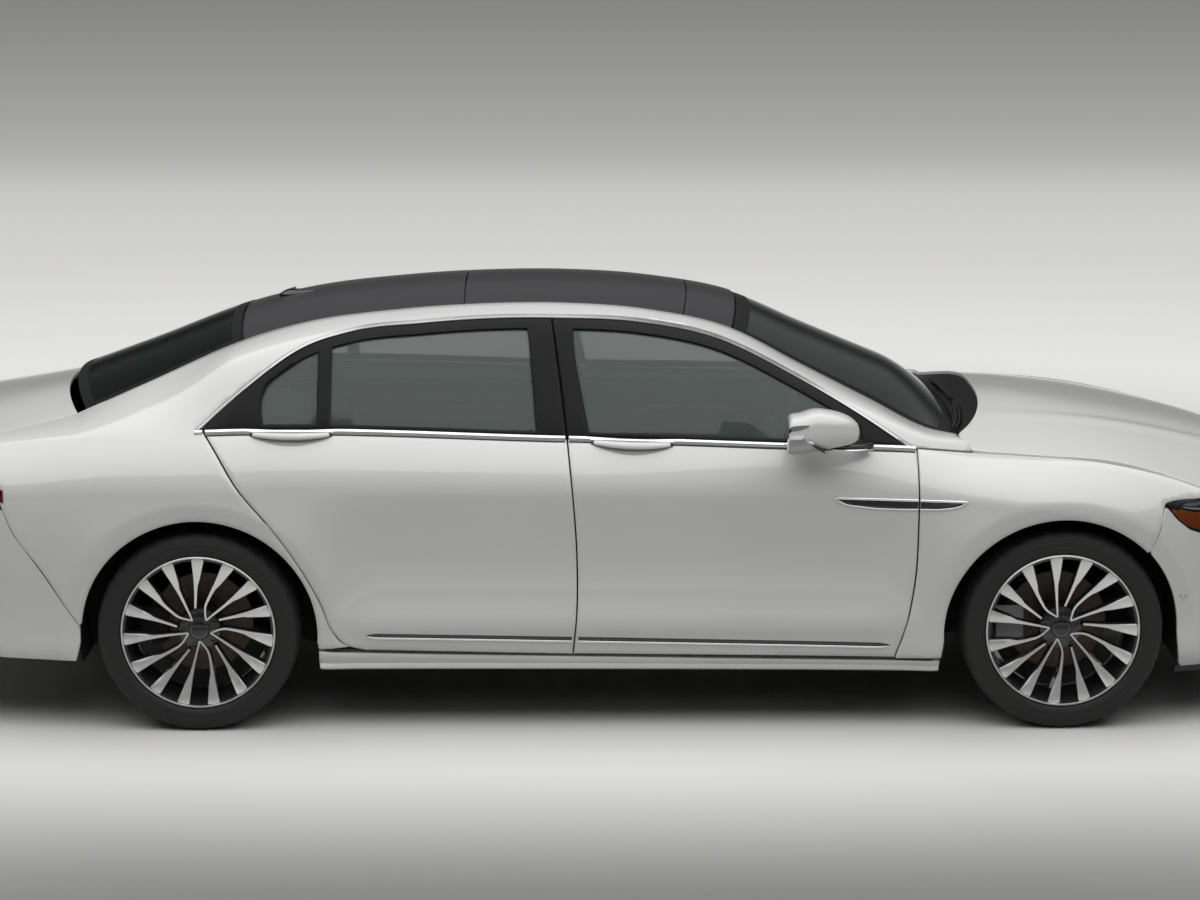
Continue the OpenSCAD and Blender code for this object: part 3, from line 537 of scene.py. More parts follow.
    @staticmethod
    def inside(pts: Array, row: Array, margin: float) -> Array:
        """Whether points lie inside a closed row, at least margin from its points.

        Args:
            pts: places to test.
            row: closed row.
            margin: distance kept inside, or a negative one that also takes points just outside.
        Returns:
            Array of truth values.
        """
        x, y = pts[:, 0], pts[:, 1]
        hit = np.zeros(len(pts), bool)
        for (x0, y0), (x1, y1) in zip(row, np.roll(row, -1, axis=0)):
            if y0 != y1:
                cross = ((y0 > y) != (y1 > y)) & (x < (x1 - x0) * (y - y0) / (y1 - y0) + x0)
                hit ^= cross
        if margin:
            near = np.zeros(len(pts), bool)
            for x0, y0 in row:
                near |= (np.abs(x - x0) < abs(margin)) & (np.abs(y - y0) < abs(margin))
            hit = hit & ~near if margin > 0 else hit | near
        return hit

    @staticmethod
    def join(name: str, objs: Sequence[bpy.types.Object]) -> bpy.types.Object:
        """One object from several, under a new name."""
        with bpy.context.temp_override(active_object=objs[0], object=objs[0], selected_objects=list(objs),
                                       selected_editable_objects=list(objs)):
            bpy.ops.object.join()
        objs[0].name = objs[0].data.name = name
        return objs[0]

    @classmethod
    def tube(cls, name: str, path: Array, radius: float, sides: int = 10, closed: bool = False,
             flat: float = 1.0, up: Optional[Array] = None, taper: Optional[Sequence[float]] = None
             ) -> bpy.types.Object:
        """Round or flattened bar along a path.

        Args:
            name: piece name.
            path: points of the middle line.
            radius: half width across the path.
            sides: points round the section.
            closed: joins the ends.
            flat: height of the section as a share of its width.
            up: direction of the section's height at each point, or None for +Z.
            taper: factor on the section at each point.
        Returns:
            The object.
        """
        path = np.asarray(path, float)
        n = len(path)
        if closed:
            tan = np.roll(path, -1, axis=0) - np.roll(path, 1, axis=0)
        else:
            tan = np.gradient(path, axis=0)
        tan = unit(tan)
        ref = np.tile([0.0, 0.0, 1.0], (n, 1)) if up is None else np.broadcast_to(up, (n, 3))
        across = np.cross(tan, ref)
        across /= np.maximum(np.linalg.norm(across, axis=1, keepdims=True), 1e-9)
        rise = np.cross(across, tan)
        k = np.ones(n) if taper is None else np.asarray(taper, float)
        ang = np.linspace(0, 2 * math.pi, sides, endpoint=False)
        ring = (path[:, None] + across[:, None] * (np.cos(ang) * radius)[None, :, None] * k[:, None, None]
                + rise[:, None] * (np.sin(ang) * radius * flat)[None, :, None] * k[:, None, None])
        return cls.mesh(name, ring.reshape(-1, 3), cls.hose(n, sides, closed), sharp=50)

    @classmethod
    def turned(cls, name: str, profile: Array, centre: Sequence[float], outward: int,
               steps: int = 96) -> bpy.types.Object:
        """Ring or cup turned about a line along Y.

        Args:
            name: piece name.
            profile: closed row of (radius, offset outward).
            centre: middle point.
            outward: sign of Y that points out of the car.
            steps: segments round the turn.
        Returns:
            The object.
        """
        p = np.asarray(profile, float)
        a = np.linspace(0, 2 * math.pi, steps, endpoint=False)
        grid = np.stack([p[None, :, 0] * np.cos(a)[:, None] + centre[0],
                         np.broadcast_to(p[None, :, 1] * outward, (steps, len(p))) + centre[1],
                         p[None, :, 0] * np.sin(a)[:, None] + centre[2]], axis=-1)
        return cls.mesh(name, grid.reshape(-1, 3), cls.over(cls.hoop(steps, len(p)), outward > 0), sharp=32)


class Grain(Enum):
    """Pattern that breaks up a finish."""

    CLOUD = "cloud"
    PEBBLE = "pebble"
    BRUSHED = "brushed"
    TURNED = "turned"


@dataclass(frozen=True)
class Finish:
    """Surface finish with colour variation, uneven gloss and grain."""

    name: str
    colour: Colour
    slot: str = "black_plastic"
    rough: float = 0.4
    metal: float = 0.0
    coat: float = 0.0
    shift: float = 0.08
    scale: float = 60.0
    bump: float = 0.0
    grain: Grain = Grain.CLOUD
    sheen: float = 0.0
    shine: float = 0.5

    def on(self, slot: str) -> "Finish":
        """The same finish for another material slot."""
        return replace(self, slot=slot)

    def material(self) -> bpy.types.Material:
        """Material of this finish, made once."""
        found = bpy.data.materials.get(self.name)
        if found:
            return found
        mat = bpy.data.materials.new(self.name)
        mat.use_nodes = True
        tree = mat.node_tree
        shader = tree.nodes["Principled BSDF"]
        shader.inputs["Metallic"].default_value = self.metal
        shader.inputs["Coat Weight"].default_value = self.coat
        shader.inputs["Coat Roughness"].default_value = 0.03
        shader.inputs["Sheen Weight"].default_value = self.sheen
        shader.inputs["Specular IOR Level"].default_value = self.shine
        self.dress(tree, shader)
        return mat

    def pattern(self, tree: bpy.types.NodeTree) -> bpy.types.NodeSocket:
        """Grey pattern of the grain.

        Args:
            tree: node tree to add to.
        Returns:
            Socket with values round one half.
        """
        place = tree.nodes.new("ShaderNodeTexCoord")
        spread = tree.nodes.new("ShaderNodeMapping")
        tree.links.new(place.outputs["Object"], spread.inputs["Vector"])
        if self.grain is Grain.PEBBLE:
            tex = tree.nodes.new("ShaderNodeTexVoronoi")
            tex.feature = "SMOOTH_F1"
            out = tex.outputs["Distance"]
        elif self.grain is Grain.TURNED:
            tex = tree.nodes.new("ShaderNodeTexNoise")
            tex.inputs["Detail"].default_value = 3.0
            spread.inputs["Scale"].default_value = (1.0, 14.0, 1.0)
            out = tex.outputs["Fac"]
        else:
            tex = tree.nodes.new("ShaderNodeTexNoise")
            tex.inputs["Detail"].default_value = 5.0
            if self.grain is Grain.BRUSHED:
                spread.inputs["Scale"].default_value = (0.05, 1.0, 1.0)
            out = tex.outputs["Fac"]
        tex.inputs["Scale"].default_value = self.scale
        tree.links.new(spread.outputs["Vector"], tex.inputs["Vector"])
        return out

    def dress(self, tree: bpy.types.NodeTree, shader: bpy.types.ShaderNode) -> None:
        """Links the grain to colour, gloss and relief.

        Args:
            tree: node tree to add to.
            shader: the surface shader.
        """
        grey = self.pattern(tree)
        ramp = tree.nodes.new("ShaderNodeValToRGB")
        ramp.color_ramp.elements[0].position = 0.25
        ramp.color_ramp.elements[1].position = 0.75
        ramp.color_ramp.elements[0].color = (*[c * (1 - self.shift) for c in self.colour], 1)
        ramp.color_ramp.elements[1].color = (*[min(c * (1 + self.shift), 1) for c in self.colour], 1)
        tree.links.new(grey, ramp.inputs["Fac"])
        tree.links.new(ramp.outputs["Color"], shader.inputs["Base Color"])
        gloss = tree.nodes.new("ShaderNodeMapRange")
        gloss.inputs["To Min"].default_value = self.rough * 0.82
        gloss.inputs["To Max"].default_value = min(self.rough * 1.18, 1)
        tree.links.new(grey, gloss.inputs["Value"])
        tree.links.new(gloss.outputs["Result"], shader.inputs["Roughness"])
        if self.bump:
            relief = tree.nodes.new("ShaderNodeBump")
            relief.inputs["Strength"].default_value = self.bump
            relief.inputs["Distance"].default_value = 0.0006
            tree.links.new(grey, relief.inputs["Height"])
            tree.links.new(relief.outputs["Normal"], shader.inputs["Normal"])


@dataclass(frozen=True)
class Paint(Finish):
    """Body paint with mica flakes under a clear coat."""

    flake: float = 0.05

    def dress(self, tree: bpy.types.NodeTree, shader: bpy.types.ShaderNode) -> None:
        """Adds the flakes to the plain finish.

        Args:
            tree: node tree to add to.
            shader: the surface shader.
        """
        super().dress(tree, shader)
        place = tree.nodes.new("ShaderNodeTexCoord")
        cell = tree.nodes.new("ShaderNodeTexVoronoi")
        cell.inputs["Scale"].default_value = 900.0
        relief = tree.nodes.new("ShaderNodeBump")
        relief.inputs["Strength"].default_value = self.flake
        relief.inputs["Distance"].default_value = 0.0002
        tree.links.new(place.outputs["Object"], cell.inputs["Vector"])
        tree.links.new(cell.outputs["Distance"], relief.inputs["Height"])
        tree.links.new(relief.outputs["Normal"], shader.inputs["Normal"])


@dataclass(frozen=True)
class Glazing(Finish):
    """Tinted glass: a gloss that grows towards grazing view over a coloured see-through."""

    tint: Colour = (0.3, 0.35, 0.33)
    body: float = 0.25

    def material(self) -> bpy.types.Material:
        """Material of this glass, made once."""
        found = bpy.data.materials.get(self.name)
        if found:
            return found
        mat = super().material()
        tree = mat.node_tree
        shader = tree.nodes["Principled BSDF"]
        clear = tree.nodes.new("ShaderNodeBsdfTransparent")
        clear.inputs["Color"].default_value = (*self.tint, 1)
        edge = tree.nodes.new("ShaderNodeLayerWeight")
        edge.inputs["Blend"].default_value = 0.35
        share = tree.nodes.new("ShaderNodeMapRange")
        share.inputs["To Min"].default_value = self.body
        share.inputs["To Max"].default_value = 1.0
        mix = tree.nodes.new("ShaderNodeMixShader")
        out = tree.nodes["Material Output"]
        tree.links.new(edge.outputs["Fresnel"], share.inputs["Value"])
        tree.links.new(share.outputs["Result"], mix.inputs["Fac"])
        tree.links.new(clear.outputs["BSDF"], mix.inputs[1])
        tree.links.new(shader.outputs["BSDF"], mix.inputs[2])
        tree.links.new(mix.outputs["Shader"], out.inputs["Surface"])
        return mat


@dataclass(frozen=True)
class Backdrop(Finish):
    """Studio paper, with painted shade that darkens it up the wall and towards the front of the floor, and a
    painted glow.
    """

    # high and near are painted shade, where less lamp light reaches the wall's top and the floor's front; the
    # glow colours are painted light.
    high: Colour = (0.3, 0.3, 0.3)
    near: Colour = (0.3, 0.3, 0.3)
    glow: Colour = (0.56, 0.557, 0.54)
    rise: Pair = (0.2, 6.0)
    reach: Pair = (-1.1, -3.0)
    ring: Pair = (2.5, 8.5)
    far: Pair = (14.5, 30.0)
    loft: Pair = (6.2, 11.5)
    bounce: Colour = (0.4, 0.4, 0.39)
    far_glow: Colour = (0.135, 0.135, 0.133)
    low_glow: Colour = (0.03, 0.03, 0.03)
    high_glow: Colour = (0.2, 0.2, 0.2)

    @staticmethod
    def blend(tree: bpy.types.NodeTree, colour: bpy.types.NodeSocket, value: bpy.types.NodeSocket, span: Pair,
              other: Colour) -> bpy.types.NodeSocket:
        """Goes over to another colour along a coordinate.

        Args:
            tree: node tree to add to.
            colour: colour at the start.
            value: the coordinate.
            span: where the change starts and ends.
            other: colour at the end.
        Returns:
            The blended colour.
        """
        share = tree.nodes.new("ShaderNodeMapRange")
        share.interpolation_type = "SMOOTHSTEP"
        share.inputs["From Min"].default_value = span[0]
        share.inputs["From Max"].default_value = span[1]
        mix = tree.nodes.new("ShaderNodeMix")
        mix.data_type = "RGBA"
        ends = [q for q in mix.inputs if q.type == "RGBA"]
        ends[1].default_value = (*other, 1)
        tree.links.new(value, share.inputs["Value"])
        tree.links.new(share.outputs["Result"], mix.inputs["Factor"])
        tree.links.new(colour, ends[0])
        return [q for q in mix.outputs if q.type == "RGBA"][0]

    def dress(self, tree: bpy.types.NodeTree, shader: bpy.types.ShaderNode) -> None:
        """Blends the floor's colour into the wall's painted shade by height and the front's painted shade by
        depth, and adds the painted glow.

        Args:
            tree: node tree to add to.
            shader: the surface shader.
        """
        super().dress(tree, shader)
        plain = shader.inputs["Base Color"].links[0].from_socket
        place = tree.nodes.new("ShaderNodeNewGeometry")
        split = tree.nodes.new("ShaderNodeSeparateXYZ")
        tree.links.new(place.outputs["Position"], split.inputs["Vector"])
        # Painted shade: darker up the wall and towards the front of the floor.
        wall = self.blend(tree, plain, split.outputs["Z"], self.rise, self.high)
        both = self.blend(tree, wall, split.outputs["Y"], self.reach, self.near)
        path = tree.nodes.new("ShaderNodeLightPath")
        seen = path.outputs["Is Camera Ray"]
        for kind in ("Is Glossy Ray", "Is Transmission Ray"):
            most = tree.nodes.new("ShaderNodeMath")
            most.operation = "MAXIMUM"
            tree.links.new(seen, most.inputs[0])
            tree.links.new(path.outputs[kind], most.inputs[1])
            seen = most.outputs[0]
        tree.links.new(seen, shader.inputs["Emission Strength"])
        both = self.blend(tree, both, seen, (1.0, 0.0), self.bounce)
        tree.links.new(both, shader.inputs["Base Color"])
        black = tree.nodes.new("ShaderNodeRGB")
        black.outputs[0].default_value = (0, 0, 0, 1)
        flat = tree.nodes.new("ShaderNodeVectorMath")
        flat.operation = "MULTIPLY"
        flat.inputs[1].default_value = (1, 1, 0)
        tree.links.new(place.outputs["Position"], flat.inputs[0])
        away = tree.nodes.new("ShaderNodeVectorMath")
        away.operation = "LENGTH"
        tree.links.new(flat.outputs["Vector"], away.inputs[0])
        # Painted light: a glow that rises away from the car and changes with distance and height.
        lit = self.blend(tree, black.outputs[0], away.outputs["Value"], self.ring, self.glow)
        lit = self.blend(tree, lit, split.outputs["Y"], self.far, self.far_glow)
        lit = self.blend(tree, lit, split.outputs["Z"], (-0.2, self.rise[1]), self.low_glow)
        lit = self.blend(tree, lit, split.outputs["Z"], self.loft, self.high_glow)
        tree.links.new(lit, shader.inputs["Emission Color"])


PEARL = Paint("pearl_paint", (0.72, 0.72, 0.705), "paint", rough=0.32, coat=1.0, shift=0.012, scale=3.0)
# Body paint darkened to grey: painted shade, in the handle recesses and round the parking sensors.
PAINTED_SHADE_GREY = Paint("shaded_paint", (0.42, 0.42, 0.41), "paint", rough=0.4, coat=0.6, shift=0.02, scale=3.0)
GLOSS_BLACK = Finish("gloss_black", (0.012, 0.012, 0.014), rough=0.08, coat=0.6, shift=0.2, scale=9.0)
FRAME_BLACK = Finish("frame_black", (0.008, 0.008, 0.009), rough=0.34, shift=0.2, scale=30.0, shine=0.14)
SATIN_BLACK = Finish("satin_black", (0.02, 0.02, 0.021), rough=0.42, shift=0.2, scale=300.0, bump=0.25,
                     grain=Grain.PEBBLE)
LINER = Finish("liner_felt", (0.018, 0.018, 0.018), rough=0.85, shift=0.35, scale=220.0, bump=0.5)
CHROME = Finish("bright_trim", (0.82, 0.83, 0.84), "chrome", rough=0.09, metal=1.0, shift=0.03, scale=18.0)
DARK_CHROME = Finish("dark_bright_trim", (0.22, 0.225, 0.23), "chrome", rough=0.14, metal=1.0, shift=0.08,
                     scale=18.0)
GLASS = Glazing("tinted_glass", (0.012, 0.018, 0.017), "tinted_glass", rough=0.03, shift=0.1, scale=6.0,
                tint=(0.8, 0.85, 0.83), body=0.07)
SCREEN = Glazing("screen_glass", (0.012, 0.018, 0.017), "tinted_glass", rough=0.03, shift=0.1, scale=6.0,
                 tint=(0.8, 0.85, 0.82), body=0.06)
LENS = Glazing("clear_lens", (0.03, 0.03, 0.032), "lamp_clear", rough=0.04, shift=0.05, scale=20.0,
               tint=(0.93, 0.95, 0.96), body=0.06)
RED_LENS = Glazing("red_lens", (0.16, 0.004, 0.006), "lamp_red", rough=0.06, shift=0.2, scale=60.0,
                   tint=(0.6, 0.03, 0.03), body=0.55)
LENS_WHITE = Finish("light_strip", (0.78, 0.8, 0.82), "lamp_clear", rough=0.2, coat=0.8, shift=0.06,
                    scale=240.0, bump=0.1)
AMBER = Finish("amber_lens", (0.85, 0.17, 0.008), "lamp_clear", rough=0.12, coat=0.8, shift=0.12, scale=160.0,
               bump=0.1)
RED_GLOW = Finish("red_reflector", (0.5, 0.012, 0.012), "lamp_red", rough=0.25, coat=0.7, shift=0.25,
                  scale=420.0, bump=0.3, grain=Grain.PEBBLE)
SILVER = Finish("machined_alloy", (0.8, 0.8, 0.79), "alloy", rough=0.32, metal=0.7, shift=0.05, scale=160.0,
                bump=0.05, grain=Grain.TURNED)
POCKET = Finish("black_pocket", (0.02, 0.02, 0.022), "alloy", rough=0.25, coat=0.5, shift=0.2, scale=40.0)
RUBBER = Finish("tyre_rubber", (0.013, 0.013, 0.0125), "tyre", rough=0.68, shift=0.25, scale=120.0, bump=0.2)
# Brake disc iron: the brown is rust, and the low brightness is painted shade of the disc deep in the wheel.
IRON_WITH_PAINTED_SHADE = Finish("cast_iron", (0.13, 0.1, 0.08), "steel", rough=0.46, metal=0.9, shift=0.22, scale=90.0,
              bump=0.2, grain=Grain.TURNED)
CALIPER = Finish("caliper_paint", (0.075, 0.06, 0.048), "cast_metal", rough=0.5, metal=0.3, shift=0.2,
                 scale=80.0, bump=0.3)
CAST = Finish("cast_alloy", (0.42, 0.42, 0.43), rough=0.5, metal=0.9, shift=0.16, scale=130.0, bump=0.5)
STEEL = Finish("brushed_steel", (0.5, 0.5, 0.5), "steel", rough=0.32, metal=1.0, shift=0.14, scale=180.0,
               grain=Grain.BRUSHED, bump=0.1)
UNDER = Finish("underbody_coat", (0.035, 0.035, 0.036), rough=0.8, shift=0.35, scale=70.0, bump=0.6)
HIDE = Finish("grey_hide", (0.11, 0.107, 0.1), "hide", rough=0.46, shift=0.1, scale=420.0, bump=0.35,
              grain=Grain.PEBBLE, sheen=0.15)
CLOTH = Finish("roof_cloth", (0.3, 0.295, 0.28), "trim", rough=0.9, shift=0.12, scale=600.0, bump=0.4,
               sheen=0.2)
CARD = Finish("door_card", (0.075, 0.074, 0.07), "trim", rough=0.55, shift=0.14, scale=480.0, bump=0.35,
              grain=Grain.PEBBLE)
ROOF_BLACK = Finish("roof_black", (0.028, 0.028, 0.029), "roof_black", rough=0.14, coat=1.0, shift=0.12,
                    scale=9.0)
SATIN_CHROME = Finish("satin_trim", (0.5, 0.505, 0.51), "chrome", rough=0.34, metal=1.0, shift=0.05,
                      scale=24.0)
TRIM = Finish("dark_trim", (0.035, 0.034, 0.034), "trim", rough=0.58, shift=0.18, scale=520.0, bump=0.35,
              grain=Grain.PEBBLE)
CARPET = Finish("carpet", (0.05, 0.048, 0.046), "trim", rough=0.95, shift=0.4, scale=700.0, bump=0.9,
                sheen=0.3)
WOOD = Finish("open_pore_wood", (0.16, 0.085, 0.045), "trim", rough=0.35, coat=0.4, shift=0.45, scale=90.0,
              grain=Grain.BRUSHED, bump=0.1)
DISPLAY = Finish("display_glass", (0.01, 0.012, 0.016), "trim", rough=0.06, coat=1.0, shift=0.3, scale=4.0)
PLATE = Finish("blank_plate", (0.62, 0.62, 0.61), "steel", rough=0.4, shift=0.05, scale=30.0, bump=0.05)


def fit(obj: bpy.types.Object, body: str, finish: Finish, nodes: Sequence[str] = ()) -> bpy.types.Object:
    """Gives a piece its finish and the body that it moves with, and hides the nodes it stands for.

    Args:
        obj: the piece.
        body: body of the frame.
        finish: surface finish.
        nodes: solids of the frame that the piece stands for.
    Returns:
        The piece.
    """
    if not obj.data.materials:
        obj.data.materials.append(finish.material())
    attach(obj, body)
    if nodes:
        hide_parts(*nodes)
    LOG.info("%s on %s", obj.name, body)
    return obj


@dataclass
class SideBody:
    """One painted side: fender, quarter with rail and pillars, sill, doors, glass and bright trim."""

    side: Side
    shut: float = 2.6
    door_depth: float = 92.0
    glass_rise: float = 19.0
    front_edge: Sequence[Pair] = ((985, 257), (1027, 394), (1052, 560), (1057, 720), (1058, 840), (1058, 984))
    middle_edge: Sequence[Pair] = ((-130, 268), (-116, 433), (-116, 611), (-129, 817), (-150, 1024),
                                   (-173, 1207), (-201, 1396))
    rear_edge: Sequence[Pair] = ((-849, 287), (-918, 308), (-962, 355), (-1002, 452), (-1068, 578),
                                 (-1168, 726), (-1270, 848), (-1365, 992), (-1400, 1040))

    def flat(self, row: Array) -> Array:
        """Chart places of a side-view row."""
        return LINES.chart(row[:, 0], row[:, 1])

    @staticmethod
    def spread(x0: float, x1: float, step: float = 12.0) -> Array:
        """Positions from x0 to x1, about a step apart."""
        return np.linspace(x0, x1, max(int(abs(x1 - x0) / step), 2) + 1)

    def level(self, x0: float, x1: float, s: float) -> Array:
        """Chart row along the belt at a height s."""
        x = self.spread(x0, x1)
        return np.stack([x, np.full_like(x, s)], axis=1)

    def over_belt(self, x0: float, x1: float) -> Array:
        """Chart row at the lower edge of the glass, a little over the belt."""
        x = self.spread(x0, x1)
        return LINES.chart(x, LINES.belt_z(x) + self.glass_rise)

    def under(self, x0: float, x1: float, d: float, step: float = 12.0) -> Array:
        """Chart row at a distance d under the window surround."""
        x = self.spread(x0, x1, step)
        return LINES.chart(x, LINES.under_rail(x, d))

    def edge(self, points: Sequence[Pair], shift: float, low: float = -1e9, high: float = 1e9) -> Array:
        """Chart row along an upright shut line.

        Args:
            points: side-view points from the bottom up.
            shift: distance moved along X.
            low: lowest height kept.
            high: greatest height kept.
        Returns:
            Array of (x, s).
        """
        row = through(points, 9.0) + [shift, 0]
        return self.flat(row[(row[:, 1] >= low) & (row[:, 1] <= high)])

    def panel(self, name: str, outline: Sequence[Array], body: str, finish: Finish,
              nodes: Sequence[str] = (), **more: object) -> bpy.types.Object:
        """Panel of this side, fitted.

        Args:
            name: piece name without the side.
            outline: chart rows that make up the closed outline.
            body: body of the frame without the side where it ends in an underscore.
            finish: surface finish.
            nodes: nodes stood for, without the side where they end in an underscore.
            more: further settings of the panel.
        Returns:
            The piece.
        """
        obj = Forge.chart_panel(f"{name}_{self.side.word}", self.side, np.vstack(list(outline)), **more)
        return fit(obj, self.named(body), finish, [self.named(n) for n in nodes])

    def named(self, word: str) -> str:
        """Word with this side's name where it ends in an underscore."""
        return word + self.side.word if word.endswith("_") else word

    def fender(self) -> None:
        """Front fender, with its lip round the wheel arch."""
        lamp = through([(2060, 822), (2056, 808), (2036, 805), (1990, 805), (1950, 803), (1930, 799),
                        (1916, 795)], 9.0)
        seam = through([(1912, 790), (1893, 712), (1864, 632)], 9.0)
        rows = [self.edge(self.front_edge, self.shut), self.level(1062, 2060, -self.shut),
                self.flat(lamp), self.flat(seam), self.flat(LINES.arch(Axle.FRONT, 45, 186)),
                self.flat(straight([(1150, 280), (1147, 254), (990, 252)], 9.0))]
        self.panel("fender", rows, "shell", PEARL, ["fender_"], thick=11.0)
        self.lip(Axle.FRONT, 45, 184)

    def lip(self, axle: Axle, a0: float, a1: float) -> None:
        """Rolled lip inside a wheel arch.

        Args:
            axle: axle of the arch.
            a0: start angle.
            a1: end angle.
        """
        row = LINES.arch(axle, a0, a1, LINES.arch_radius - 1)
        skin = LINES.skin(*self.flat(row).T)
        mid = np.array([axle.arch_x, 0, LINES.arch_z])
        inward = unit((mid - skin) * [1, 0, 1])
        steps = [(0, -1.0), (2.0, -2.5), (2.5, -7), (2.2, -26)]
        grid = np.stack([skin + inward * a + [0, b, 0] for a, b in steps], axis=1)
        inner = grid - inward[:, None] * 3.5 - [0, 1.5, 0]
        obj = Forge.sheet(f"arch_lip_{axle.word}_{self.side.word}", grid * self.side.mirror,
                          inner * self.side.mirror, flip=self.side is Side.LEFT)
        fit(obj, "shell", PEARL)

    def quarter(self) -> None:
        """Rear quarter with C-pillar, roof rail and A-pillar in one panel."""
        tail = through([(-2086, 772), (-2096, 800), (-2098, 852)], 8.0)
        over = through([(-2103, 862), (-2200, 878), (-2330, 890), (-2438, 898)], 10.0)
        seam = through([(-1836, 372), (-1872, 428), (-1960, 570), (-2056, 704), (-2082, 762)], 10.0)
        rows = [straight([(1207, 496), (1250, 6)], 12.0), self.level(1248, 1058, self.shut),
                self.under(1052, -1434, -0.5),
                self.level(-1434, -1404, -1.0), self.edge(self.rear_edge, -self.shut, 300)[::-1],
                self.flat(straight([(-935, 297), (-1003, 290)], 9.0)),
                self.flat(LINES.arch(Axle.REAR, -6, 175)), self.flat(seam), self.flat(tail),
                self.flat(over), straight([(-2438, -15), (-2438, 496)], 12.0),
                self.level(-2430, 1200, 499.0)]
        self.panel("quarter_and_rail", rows, "shell", PEARL, ["quarter_", "roof_rail_"],
                   thick=11.0, step=17.0)
        self.lip(Axle.REAR, -4, 174)

    def sill(self) -> None:
        """Sill under the doors."""
        x = np.linspace(-1010, 1142, 160)
        top = Smooth([(-1010, 284), (-849, 278), (-123, 263), (978, 246), (1142, 245)])(x)
        low = Smooth([(-1010, 213), (-123, 209), (1142, 200)])(x)
        rows = [self.flat(np.stack([x, low], 1)), self.flat(np.stack([x, top - self.shut], 1))[::-1]]
        self.panel("sill", rows, "shell", PEARL, ["sill_"], thick=60.0, sideways=True)

    def doors(self) -> None:
        """Skins, inner cards, window frames, glass and strips of both doors."""
        low_f = self.flat(straight([(-124, 272), (430, 265), (980, 258)], 12.0))
        low_r = self.flat(straight([(-847, 288), (-480, 279), (-135, 271)], 12.0))
        top = 978.0
        front = [self.edge(self.front_edge, -self.shut, high=top), self.level(1054, -146, -7.0),
                 self.edge(self.middle_edge, self.shut, high=1010)[::-1], low_f]
        rear = [self.edge(self.middle_edge, -self.shut, high=1010), self.level(-153, -1394, -7.0),
                self.edge(self.rear_edge, self.shut + 1, high=1030)[::-1], low_r]
        self.panel("front_door_skin", front, "door_front_", PEARL, ["front_door_"],
                   thick=self.door_depth, sideways=True)
        self.panel("rear_door_skin", rear, "door_rear_", PEARL, ["rear_door_"],
                   thick=self.door_depth, sideways=True)
        self.frames()

    def frames(self) -> None:
        """Black window frames with their glass."""
        gap = self.shut
        pillar = through(self.middle_edge, 9.0)
        pillar = pillar[pillar[:, 1] > 1024]
        top = 13.0
        lead = pillar[LINES.under_rail(pillar[:, 0] + gap, top) > pillar[:, 1]]
        front = [self.level(1036, -146, 1.0), self.flat(lead + [gap, 0]),
                 self.under(lead[-1, 0] + gap, 1030, top)]
        hole = np.vstack([self.over_belt(868, -72), self.flat(through(
            [(-76, 1046), (-92, 1120), (-110, 1210), (-124, 1290), (-130, 1352)], 9.0)),
            self.under(-128, 858, top + 29)])
        self.panel("front_window_frame", front, "door_front_", FRAME_BLACK,
                   thick=16.0, holes=[hole], lift=1.0)
        rear = [self.flat(lead - [gap, 0])[::-1], self.level(-154, -1392, 1.0),
                self.under(-1392, lead[-1, 0] - gap, top)]
        main = np.vstack([self.over_belt(-966, -256), self.flat(through(
            [(-256, 1052), (-263, 1150), (-274, 1260), (-284, 1352)], 9.0)),
            self.under(-288, -966, top + 29)])
        light = np.vstack([self.over_belt(-1196, -1012), self.under(-1012, -1200, top + 29)[:-1],
                           self.flat(through([(-1206, 1150), (-1206, 1108), (-1200, 1080)], 9.0))])
        self.panel("rear_window_frame", rear, "door_rear_", FRAME_BLACK,
                   thick=16.0, holes=[main, light], lift=1.0)
        for name, row, body, node in (("front_pane", hole, "door_front_", ["front_glass_"]),
                                      ("rear_pane", main, "door_rear_", ["rear_glass_"]),
                                      ("quarter_light", light, "door_rear_", [])):
            wide = Forge.inset(Forge.cleaned(row), -6.0)
            self.panel(name, [wide], body, GLASS, node, thick=4.5, lift=-7.0,
                       step=30.0, edge=0.8)

    def strips(self) -> None:
        """Bright surround over the windows."""
        upper = self.under(1050, -1433, 0.8, 8.0)
        lower = self.under(-1424, 1040, 10.5, 8.0)
        self.panel("window_surround", [upper, lower], "shell", SATIN_CHROME, thick=7.0,
                   lift=2.6, step=9.0, edge=2.6)

    def build(self) -> None:
        """All pieces of this side."""
        self.fender()
        self.quarter()
        self.sill()
        self.doors()
        self.strips()


